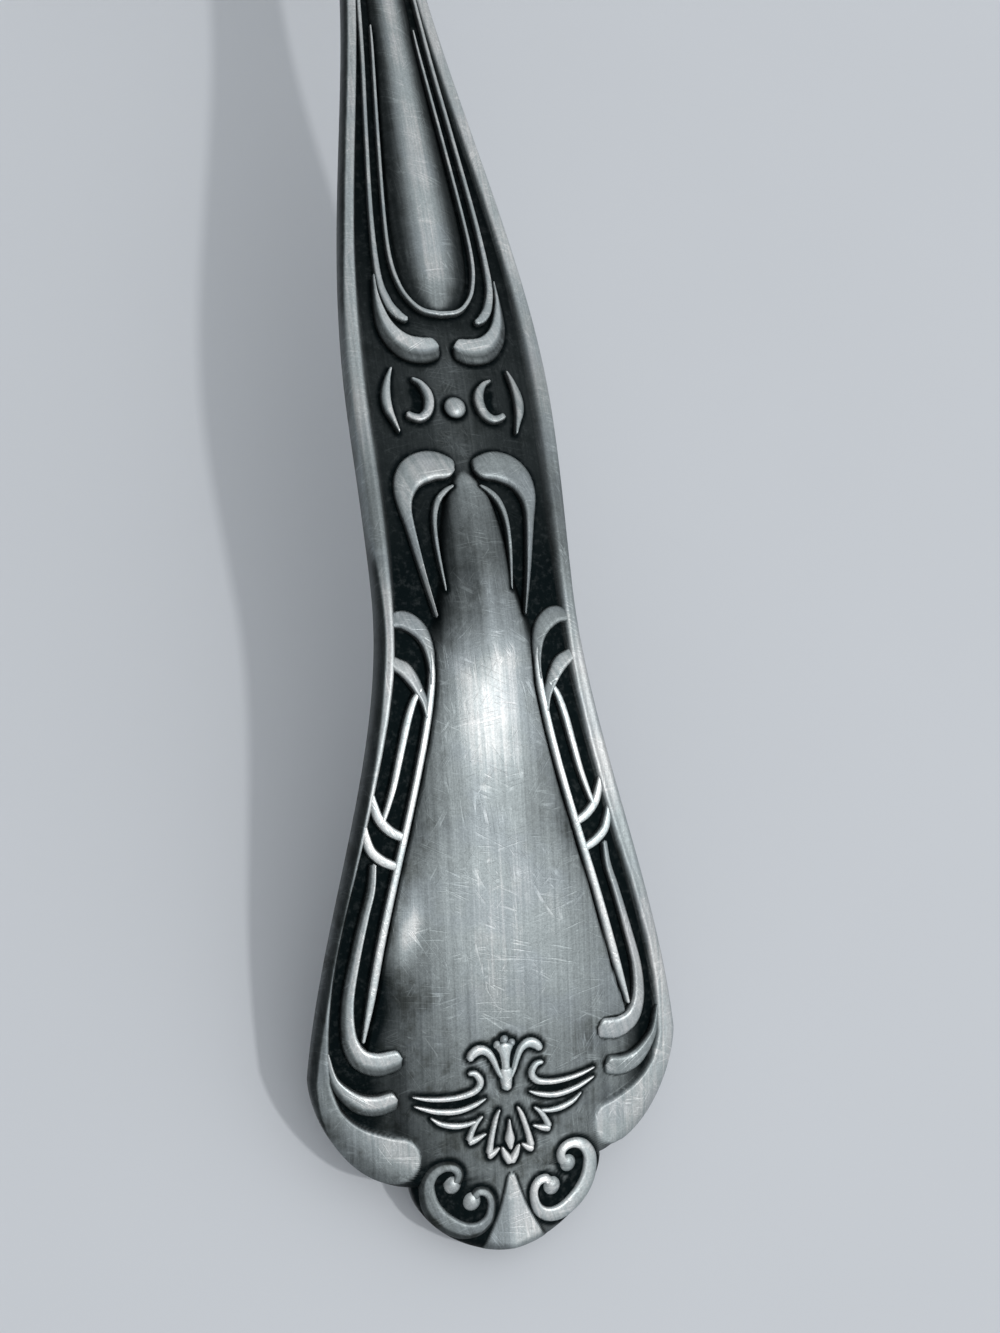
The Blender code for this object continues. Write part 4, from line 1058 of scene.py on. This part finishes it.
def silver_material(name, finish, scratch_turn, brushed, gloss, clouding=1.0):
    """Worn silver plate: bright where it is rubbed, black where the patina_and_shade attribute says,
    which holds oxide and painted shade.
    """
    material = bpy.data.materials.new(name)
    material.use_nodes = True
    wire = Wiring(material.node_tree)
    place = wire.add("ShaderNodeTexCoord").outputs["Object"]
    patina_and_shade = wire.add("ShaderNodeAttribute", attribute_name="patina_and_shade").outputs["Fac"]

    def noise(scale, detail=3.0, roughness=0.55, angle=0.0, stretch=(1.0, 1.0, 1.0)):
        turn_and_stretch = {"Rotation": (0.0, 0.0, angle), "Scale": tuple(1 / value for value in stretch)}
        mapped = wire.out("ShaderNodeMapping", {0: place, **turn_and_stretch}, vector_type="TEXTURE")
        look = {"Vector": mapped, "Scale": scale, "Detail": detail, "Roughness": roughness}
        return wire.add("ShaderNodeTexNoise", look).outputs["Fac"]

    def swing(value, gain):
        return wire.product(wire.less(value, 0.5), gain)

    def blend(amount, first, second):
        second = (*second, 1)
        return wire.add("ShaderNodeMix", {0: amount, 6: first, 7: second}, data_type="RGBA").outputs[2]

    clouds, smudge, mottle, grain, patches = (noise(*values) for values in PLATE_NOISES.values())
    brushing = noise(1.0, 4.0, 0.68, scratch_turn, BRUSH_STRETCH)
    speckle = wire.span(mottle, 0.4, 0.62)
    hairlines = 0.0
    break_scale, break_change = SCRATCH_BREAKS
    for angle, width in SCRATCHES:
        level = noise(1.0, 1.0, 0.4, scratch_turn + angle, SCRATCH_STRETCH)
        line = wire.span(wire.calc("ABSOLUTE", wire.less(level, 0.5)), 0.0, width, 1.0, 0.0)
        breaks = noise(break_scale + break_change * angle, 2.0)
        line = wire.product(line, wire.span(breaks, 0.52, 0.66))
        hairlines = wire.calc("MAXIMUM", hairlines, line)

    # Oxide and painted shade: the patina_and_shade attribute, broken up by smudges, brushing and
    # scratches where it is neither clean nor black
    middling = wire.product(patina_and_shade, wire.product(wire.less(1.0, patina_and_shade), 4.0))
    gain = IN_OXIDE
    uneven = wire.total(
        swing(smudge, gain["smudge"]),
        swing(speckle, gain["speckle"]),
        swing(brushing, gain["brushing"]),
        wire.product(hairlines, gain["hairlines"]),
    )
    worn = wire.calc("ADD", patina_and_shade, wire.product(uneven, middling), clamp=True)
    on_black = wire.span(patina_and_shade, 0.85, 0.96, 0.0, gain["flecks"])
    flecks = wire.product(wire.span(mottle, 0.48, 0.72), on_black)
    worn = wire.less(worn, flecks, clamp=True)

    # Colour: clean to dulled silver, a cool tint in patches, olive at the edge of the oxide
    gain = IN_COLOUR
    cloudy = wire.total(
        0.5,
        swing(clouds, gain["clouds"] * clouding),
        swing(brushing, gain["brushing"] * clouding),
        wire.product(hairlines, gain["hairlines"]),
    )
    # the dulled tone follows the patina_and_shade attribute as well, so it carries painted shade as well
    # as tarnish
    dulled = wire.calc("ADD", wire.span(cloudy, 0.36, 0.64), wire.span(patina_and_shade, 0.1, 0.6), clamp=True)
    tone = blend(dulled, (*finish.silver, 1), finish.dulled)
    bright = wire.total(1.0, swing(grain, gain["grain"]), swing(speckle, gain["speckle"]))
    cool = wire.product(middling, wire.span(patches, 0.46, 0.62), gain["blued"])
    tone = blend(cool, wire.scaled(tone, bright), finish.blued)
    by_nose = wire.span(wire.part(place, 1), *OLIVE_BY_NOSE)
    smudged = wire.span(smudge, 0.48, 0.66, 0.0, gain["olive"])
    edge = wire.product(wire.span(worn, 0.5, 0.92), smudged, by_nose)
    tone = blend(worn, blend(edge, tone, finish.olive), finish.oxide)

    gain = IN_ROUGHNESS
    rubbed = wire.total(gloss, swing(clouds, gain["clouds"]), swing(brushing, gain["brushing"]))
    rough = wire.out("ShaderNodeMix", {0: worn, 2: rubbed, 3: finish.dull}, data_type="FLOAT")
    gain = IN_RELIEF
    relief = wire.total(
        wire.product(brushing, brushed),
        wire.product(grain, gain["grain"]),
        wire.product(hairlines, gain["hairlines"]),
        wire.product(mottle, wire.span(worn, 0.1, 0.6, gain["mottle"], gain["mottle on oxide"])),
    )
    height = {"Strength": BUMP_STRENGTH, "Distance": BUMP_DISTANCE, "Height": relief}
    bump = wire.out("ShaderNodeBump", height)
    shader = wire.tree.nodes["Principled BSDF"]
    shader.inputs["Metallic"].default_value = 1.0
    for key, socket in (("Base Color", tone), ("Roughness", rough), ("Normal", bump)):
        wire.tree.links.new(socket, shader.inputs[key])
    return material


class LADLE_OT_handle(bpy.types.Operator):
    """Make the struck handle with its rim, panel and domes"""

    bl_idname = "ladle.handle"
    bl_label = "Handle"

    def execute(self, context):
        form = HandleForm(context.scene)
        stations = self.rows(form)[:, None]
        width = form.half_width(stations)
        offsets = self.columns(width)
        front_rows = np.broadcast_to(stations, offsets.shape)
        front = form.on_face(offsets, front_rows, form.struck_heights(offsets, front_rows))
        back_offsets = width * np.sin(np.linspace(1, -1, 21) * math.pi / 2)
        back_rows = np.broadcast_to(stations, back_offsets.shape)
        back = form.on_face(back_offsets, back_rows, form.back_heights(back_offsets, back_rows))
        mesh = lofted("struck_handle", np.concatenate([front, back], axis=1))
        patina_and_shade = self.patina_and_shade(form, offsets, front_rows)
        near_edge = ease(0.5, 0.0, form.inset(back_offsets, back_rows))
        behind = LOCAL_OXIDE_AND_SHADE["back"] + LOCAL_OXIDE_AND_SHADE["edge of back"] * near_edge
        set_values(mesh, "patina_and_shade", np.concatenate([patina_and_shade, behind], axis=1).ravel())
        finish = context.scene.ladle_finish
        look = {"scratch_turn": 0.0, "brushed": 0.4, "gloss": finish.gloss}
        material = silver_material("worn silver of the handle", finish, **look)
        hand_over(new_piece("struck_handle", mesh, material), "handle")
        return {"FINISHED"}

    @staticmethod
    def rows(form):
        """Stations of the cross-sections, closest together where the ornament is finest."""
        nose = form.nose_length * (1 - np.cos(np.linspace(0.02, math.pi / 2, 46)))
        parts = [nose]
        start = form.nose_length + ROW_SPACING[0][1]
        for end, spacing in (*ROW_SPACING, (form.length, STEM_SPACING)):
            parts.append(np.arange(start, end, spacing))
            start = end
        bend = np.linspace(form.length, form.tongue_start, 13)
        lap = form.end - form.bowl_tongue_length * (1 - np.sin(np.linspace(0, 1.55, 28)))[1:]
        return np.concatenate([*parts, bend, lap])

    @staticmethod
    def columns(width):
        """Offsets across the struck face, close together beside the edges."""
        beside = np.concatenate([np.arange(*stretch) for stretch in COLUMN_SPACING])
        squeeze = np.minimum(1.0, width / SQUEEZED_BELOW)
        outer = width - np.minimum(beside * squeeze, MOST_SQUEEZE * width)
        inner = outer[:, -1:] * np.linspace(1, 0, MIDDLE_COLUMNS)[1:-1]
        half = np.concatenate([outer, inner], axis=1)
        return np.concatenate([-half, np.zeros_like(width), half[:, ::-1]], axis=1)

    @staticmethod
    def patina_and_shade(form, offsets, stations):
        """How black the struck face is with oxide and painted shade, from 0 to 1."""
        inset = form.inset(offsets, stations)
        left = ease(0.5, -0.5, offsets)
        right = 1 - left
        offsets = form.from_strike(offsets, stations)
        out = np.abs(offsets)
        foot = foot_shade(form, offsets.ravel(), stations.ravel()).reshape(offsets.shape)
        field = form.field_share(offsets, stations)
        border, _ = form.border(offsets, stations)
        fan = form.fan_share(offsets, stations)
        stem, on_stem = form.dome(offsets, stations, STEM_DOME)
        grip, on_grip = form.dome(offsets, stations, GRIP_DOME)

        # Ground and domes, with painted shade on the domes' ends and flanks
        # shares of oxide and of painted shade, by place
        oxide = LOCAL_OXIDE_AND_SHADE
        rubbed = oxide["rubbed collar"] * np.exp(-((offsets / 2.2) ** 2)) * between(COLLAR_RUB, stations)
        by_hooks = between(BY_HOOKS, stations) * ease(11.2 + 1.6 * right, 9.2, out)
        by_hooks = by_hooks * (oxide["left hooks"] * left + oxide["right hooks"] * right)
        ground = along(stations, GROUND_OXIDE) - rubbed - by_hooks
        # painted shade on the grip's left, the side away from the lamp; the dome's foot holds oxide, and
        # on the left the painted shade reaches further in
        beside_grip = oxide["painted shade left of grip"] * left * between(SHADED_LEFT_OF_GRIP, stations)
        on_grip_dome = along(stations, GRIP_OXIDE_AND_SHADE) + beside_grip
        by_foot = ease(0.55 - 0.25 * left, 1.15 - 0.15 * left, on_grip)
        grip_dome = on_grip_dome + (oxide["grip foot oxide and shade"] - on_grip_dome) * by_foot
        # the stem dome's flanks darken from near its middle: oxide at the foot and painted shade where
        # the flanks would mirror a dark room
        on_stem_dome = along(stations, STEM_OXIDE_AND_SHADE)
        by_foot = ease(0.08, 0.8, on_stem)
        stem_dome = on_stem_dome + (oxide["stem flanks oxide and shade"] - on_stem_dome) * by_foot
        dome = np.where(stations > DOMES_PART, stem_dome, grip_dome)
        on_dome = np.clip((stem + grip) / 0.2, 0, 1)
        dark = ground * (1 - on_dome) + dome * on_dome

        # Panel: painted shade, darker towards the nose and towards its sides where the face turns from
        # the lamp, with a painted highlight spot on the left
        middle = along(stations, PANEL_PAINTED_SHADE)
        side = along(stations, PANEL_SIDE_SHADE) * right + along(stations, PANEL_SIDE_SHADE, 2) * left
        across = np.clip(out / np.maximum(form.panel_edge(stations), 1.0), 0, 1)
        panel = middle + np.maximum(side - middle, 0) * across**1.6
        spot_offset, spot_station, spot_width, spot_length, lean = PAINTED_HIGHLIGHT_SPOT
        beyond = stations - spot_station
        aside = offsets - spot_offset - lean * beyond
        spot = np.exp(-((aside / spot_width) ** 2) - (beyond / spot_length) ** 2)
        # the spot takes darkness away to paint a highlight where a dent would catch the lamp
        panel = np.maximum(panel - oxide["painted highlight spot"] * spot, on_grip_dome)
        dark = dark * (1 - field) + panel * field

        # Feet of the strokes, the fan, the rim and the edges; the rim's right side, the flare's rim and
        # the tongue on the left and the handle's left side also take painted shade
        beside_fan = np.abs(out - along(stations, END_FAN)) + (stations > END_FAN[-1][0])
        foot = np.maximum(foot, ease(0.4, 0.12, beside_fan))
        dark = dark + (1.0 - dark) * foot
        on_fan = oxide["fan"] + oxide["left of fan"] * left * ease(0.2, -1.0, offsets)
        on_fan = on_fan + oxide["edge of fan"] * ease(1.2, 0.2, inset)
        dark = dark * (1 - fan) + on_fan * fan
        rim = along(stations, RIM_OXIDE)
        # painted shade on the left of the flare's rim and of the tongue, the side away from the lamp
        rim = rim + oxide["painted shade on left flare rim"] * left * between(SHADED_LEFT_FLARE_RIM, stations)
        # painted shade on the rim's right side, dimming the lamp's highlight on its rolled edge
        rim = rim + oxide["painted shade on right rim"] * right * between(SHADED_RIGHT_RIM, stations)
        rim = rim + oxide["painted shade on left tongue"] * left * ease(14.0, 11.0, stations) * ease(3.2, 0.6, inset)
        dark = dark * (1 - border) + rim * border
        edge = oxide["edge"] * ease(0.3, 0.05, inset)
        # oxide and painted shade along the handle's left side
        line = along(stations, LEFT_EDGE)
        shaded = oxide["left edge oxide and shade"] * left * ease(line + 0.14, line - 0.14, inset) * ease(0.02, 0.2, line)
        return np.clip(np.maximum(dark, np.maximum(edge, shaded)), 0, 1)


class LADLE_OT_ornament(bpy.types.Operator):
    """Raise the reeds, scrolls and palmette of the struck face"""

    bl_idname = "ladle.ornament"
    bl_label = "Ornament"

    def execute(self, context):
        form = HandleForm(context.scene)
        tree = stroke_tree()
        groups = all_paths(form)
        colours = context.scene.ladle_finish
        look = {"scratch_turn": 0.4, "brushed": 0.35, "gloss": colours.rubbed}
        finish = silver_material("rubbed silver of the ornament", colours, **look)
        crest, field = form.relief_crest, form.relief_field
        plan = (
            ("struck_reeds", "reeds", 0.0, crest, 4.6, True),
            ("struck_scrolls", "scrolls", 0.0, 1.05 * crest, 4.6, True),
            ("struck_palmette", "palmette", field, form.relief_palmette, 3.0, True),
            ("struck_palmette_stem", "palmette_middle", field, 1.1 * form.relief_palmette, 3.0, False),
        )
        for name, group, level, rise, fullness, mirrored in plan:
            guides = stroke_guides(form, name + "_paths", groups[group], level, rise)
            values = {"Fullness": fullness, "Sink": form.relief_sink * MM, "Mirrored": mirrored}
            mesh = grown(name, guides, tree, {**values, "Finish": finish})
            outward(mesh)
            hand_over(new_piece(name, mesh, finish), "handle")
        return {"FINISHED"}


class LADLE_OT_pearls(bpy.types.Operator):
    """Set the round pearls of the collar and the scrolls"""

    bl_idname = "ladle.pearls"
    bl_label = "Pearls"

    def execute(self, context):
        form = HandleForm(context.scene)
        offset, station, radius, rise = np.array(PEARLS).T
        offset = offset + along(station, STRIKE)
        place = form.on_face(offset, station, 0.0)
        scale = np.stack([radius, radius, rise * form.relief_crest], axis=1) * MM
        attributes = {"up": form.face_normal(offset, station), "scale": scale}
        guides = guide_mesh("pearl_points", place.tolist(), [], attributes)
        finish = bpy.data.materials["rubbed silver of the ornament"]
        mesh = grown("struck_pearls", guides, pearl_tree(), {"Finish": finish})
        hand_over(new_piece("struck_pearls", mesh, finish), "handle")
        return {"FINISHED"}


class LADLE_OT_bowl(bpy.types.Operator):
    """Turn the bowl with its rounded lip and worn base"""

    bl_idname = "ladle.bowl"
    bl_label = "Bowl"

    def execute(self, context):
        form = HandleForm(context.scene)
        radius, wall = form.bowl_radius, form.bowl_wall
        segments, steps = 200, 70
        rim = math.acos((radius - form.bowl_depth) / radius)
        lip, bulge = wall / 2, 0.8
        wall_turns = np.linspace(0, rim, steps + 1)[1:]
        lip_turns = np.linspace(0, math.pi, 11)[1:-1]
        way = np.stack([np.sin(wall_turns), -np.cos(wall_turns)], axis=1)
        out = (radius - lip + lip * np.cos(lip_turns))[:, None] * (math.sin(rim), -math.cos(rim))
        forward = (bulge * lip * np.sin(lip_turns))[:, None] * (math.cos(rim), math.sin(rim))
        section = np.vstack([radius * way, out + forward, (radius - wall) * way[::-1]])
        turns = np.linspace(0, 2 * math.pi, segments, endpoint=False)
        across, up = section[:, :1], section[:, 1:]
        rings = np.stack(np.broadcast_arrays(across * np.cos(turns), across * np.sin(turns), up), axis=-1)
        poles = [(0, 0, -radius), (0, 0, wall - radius)]
        points = form.world(np.vstack([rings.reshape(-1, 3), poles]))
        points[:, 2] = np.maximum(points[:, 2], 0.0)
        faces = ring_faces(len(section), segments)
        below, above, last = len(points) - 2, len(points) - 1, (len(section) - 1) * segments
        for i in range(segments):
            j = (i + 1) % segments
            faces += [(below, j, i), (above, last + i, last + j)]
        mesh = plain_mesh("turned_bowl", points, faces)
        outward(mesh)
        near_lip = np.concatenate([np.repeat(section[:, 1], segments), [-radius, -radius]])
        by_lip = ease(-30.0, -14.0, near_lip)
        set_values(mesh, "patina_and_shade", LOCAL_OXIDE_AND_SHADE["bowl"] + LOCAL_OXIDE_AND_SHADE["lip"] * by_lip)
        finish = context.scene.ladle_finish
        look = {"scratch_turn": 0.6, "brushed": 0.3, "gloss": finish.polish, "clouding": 0.4}
        material = silver_material("worn silver of the bowl", finish, **look)
        hand_over(new_piece("turned_bowl", mesh, material), "bowl")
        return {"FINISHED"}


class LADLE_OT_solder(bpy.types.Operator):
    """Run the solder between the handle's tongue and the bowl's back"""

    bl_idname = "ladle.solder"
    bl_label = "Solder seam"

    def execute(self, context):
        form = HandleForm(context.scene)
        rows, columns = 70, 49
        start = form.tongue_start - 0.45 * form.bend_length
        past_end, tip_reach, tip_length = 0.5, 0.55, 0.6
        steps = (1 - np.cos(np.linspace(0.12, math.pi, rows))) / 2
        stations = start + (form.end - start + past_end) * steps
        inside = np.minimum(stations, form.end - 1e-4)
        ragged = 1 + 0.12 * np.sin(1.7 * stations) + 0.08 * np.sin(4.1 * stations + 1)
        tip = np.sqrt(np.clip((form.end + tip_reach - stations) / tip_length, 0.02, 1))
        taper = np.maximum(ease(start - 0.2, start + 1.0, stations) * tip, 0.05)
        widths = (form.half_width(inside) + form.bowl_solder_margin * ragged) * taper
        offsets = widths[:, None] * np.sin(np.linspace(-1, 1, columns) * math.pi / 2)
        past_tip = (stations - inside)[:, None]
        past = np.maximum(np.abs(offsets) - form.half_width(inside)[:, None], 0.0) + past_tip
        past = past / form.bowl_solder_margin
        outer = form.on_face(offsets, inside[:, None], 0.25 * ease(0.2, -0.4, past))
        centre = form.world(np.zeros(3))
        reach = np.linalg.norm(outer - centre, axis=-1)
        x, y, z = np.moveaxis((outer - centre) / reach[..., None], -1, 0)
        ways = np.stack([x, *turned(y, z, past_tip / form.tongue_radius)], axis=-1)
        low = form.bowl_radius * MM
        climb = (form.tongue_radius - form.bowl_radius + 0.1) * MM
        fillet = low + climb * (1 - np.clip(past, 0, 1)) ** 1.6
        top = centre + ways * np.minimum(fillet, np.maximum(reach, low + 0.0001))[..., None]
        base = centre + ways * (low - 0.00005)
        mesh = lofted("solder_fillet", np.concatenate([top, base[:, ::-1]], axis=1))
        set_values(mesh, "patina_and_shade", np.full(len(mesh.vertices), LOCAL_OXIDE_AND_SHADE["solder"]))
        finish = context.scene.ladle_finish
        look = {"scratch_turn": 0.9, "brushed": 0.2, "gloss": finish.gloss}
        material = silver_material("dull silver solder", finish, **look)
        hand_over(new_piece("solder_fillet", mesh, material), "solder_seam")
        return {"FINISHED"}


class LADLE_OT_stage(bpy.types.Operator):
    """Lay the table and set the lamp and the camera"""

    bl_idname = "ladle.stage"
    bl_label = "Stage"

    def execute(self, context):
        scene = context.scene
        scene.view_settings.view_transform = "Standard"
        self.floor(scene.ladle_finish.floor)
        self.world(scene)
        self.lamp(scene)
        self.camera(scene)
        return {"FINISHED"}

    @staticmethod
    def floor(tint):
        """The pale table top, faintly clouded."""
        signs = ((-1, -1), (1, -1), (1, 1), (-1, 1))
        corners = [(x * TABLE_HALF, y * TABLE_HALF, TABLE_LEVEL) for x, y in signs]
        mesh = plain_mesh("table_top", corners, [(0, 1, 2, 3)])
        material = bpy.data.materials.new("pale table top")
        material.use_nodes = True
        wire = Wiring(material.node_tree)
        shader = wire.tree.nodes["Principled BSDF"]
        place = wire.add("ShaderNodeTexCoord").outputs["Object"]
        look = {"Vector": place, "Scale": TABLE_CLOUDS, "Detail": 4.0}
        clouds = wire.add("ShaderNodeTexNoise", look).outputs["Fac"]
        shades = {0: clouds, 6: (*[TABLE_SHADE * value for value in tint], 1), 7: (*tint, 1)}
        shade = wire.add("ShaderNodeMix", shades, data_type="RGBA").outputs[2]
        wire.tree.links.new(shade, shader.inputs["Base Color"])
        shader.inputs["Roughness"].default_value = TABLE_ROUGHNESS
        new_piece("table_top", mesh, material)

    @staticmethod
    def world(scene):
        """Soft light from all around, weaker from the left."""
        surround = bpy.data.worlds.new("studio")
        surround.use_nodes = True
        wire = Wiring(surround.node_tree)
        back = wire.tree.nodes["Background"]
        back.inputs["Color"].default_value = SKY_COLOUR
        across = wire.part(wire.add("ShaderNodeTexCoord").outputs["Generated"], 0)
        glow = wire.span(across, *SKY_FADE, SKY_LEFT, SKY_RIGHT)
        wire.tree.links.new(glow, back.inputs["Strength"])
        scene.world = surround

    @staticmethod
    def lamp(scene):
        """The key lamp, from the right."""
        light = bpy.data.lights.new("key_lamp", "AREA")
        light.shape = "DISK"
        light.size = LAMP_WIDTH
        light.energy = LAMP_POWER
        lamp = bpy.data.objects.new("key_lamp", light)
        scene.collection.objects.link(lamp)
        place = Vector(LAMP_FROM_AIM)
        lamp.location = place + Vector(LAMP_AIM)
        lamp.rotation_euler = (-place).to_track_quat("-Z", "Y").to_euler()

    @staticmethod
    def camera(scene):
        """The camera, placed by its own axes."""
        lens = bpy.data.cameras.new("camera")
        lens.lens = CAMERA_LENS
        lens.sensor_width = CAMERA_SENSOR
        lens.clip_start = CAMERA_CLIP
        camera = bpy.data.objects.new("camera", lens)
        right, up = Vector(CAMERA_RIGHT), Vector(CAMERA_UP)
        axes = Matrix((right, up, right.cross(up))).transposed()
        camera.matrix_world = Matrix.Translation(CAMERA_PLACE) @ axes.to_4x4()
        scene.collection.objects.link(camera)
        scene.camera = camera


class LADLE_PT_parts(bpy.types.Panel):
    """Lists what makes the ladle and its sizes"""

    bl_idname = "LADLE_PT_parts"
    bl_label = "Soup Ladle"
    bl_space_type = "VIEW_3D"
    bl_region_type = "UI"
    bl_category = "Ladle"

    def draw(self, context):
        for operator in OPERATORS:
            self.layout.operator(operator.bl_idname)
        for name, group in GROUPS.items():
            box = self.layout.box()
            box.label(text=group.__doc__)
            for prop in group.__annotations__:
                box.prop(getattr(context.scene, name), prop)


GROUPS = {
    "ladle_handle": LadleHandleSizes,
    "ladle_relief": LadleReliefSizes,
    "ladle_bowl": LadleBowlSizes,
    "ladle_finish": LadleFinishes,
}
OPERATORS = (
    LADLE_OT_handle,
    LADLE_OT_ornament,
    LADLE_OT_pearls,
    LADLE_OT_bowl,
    LADLE_OT_solder,
    LADLE_OT_stage,
)
CLASSES = (*GROUPS.values(), *OPERATORS, LADLE_PT_parts)


def register():
    for item in CLASSES:
        bpy.utils.register_class(item)
    for name, group in GROUPS.items():
        setattr(bpy.types.Scene, name, PointerProperty(type=group))


def unregister():
    for name in GROUPS:
        delattr(bpy.types.Scene, name)
    for item in reversed(CLASSES):
        bpy.utils.unregister_class(item)


def main():
    register()
    bpy.ops.ladle.handle()
    bpy.ops.ladle.ornament()
    bpy.ops.ladle.pearls()
    bpy.ops.ladle.bowl()
    bpy.ops.ladle.solder()
    bpy.ops.ladle.stage()
    bpy.context.view_layer.update()


if __name__ == "__main__":
    main()
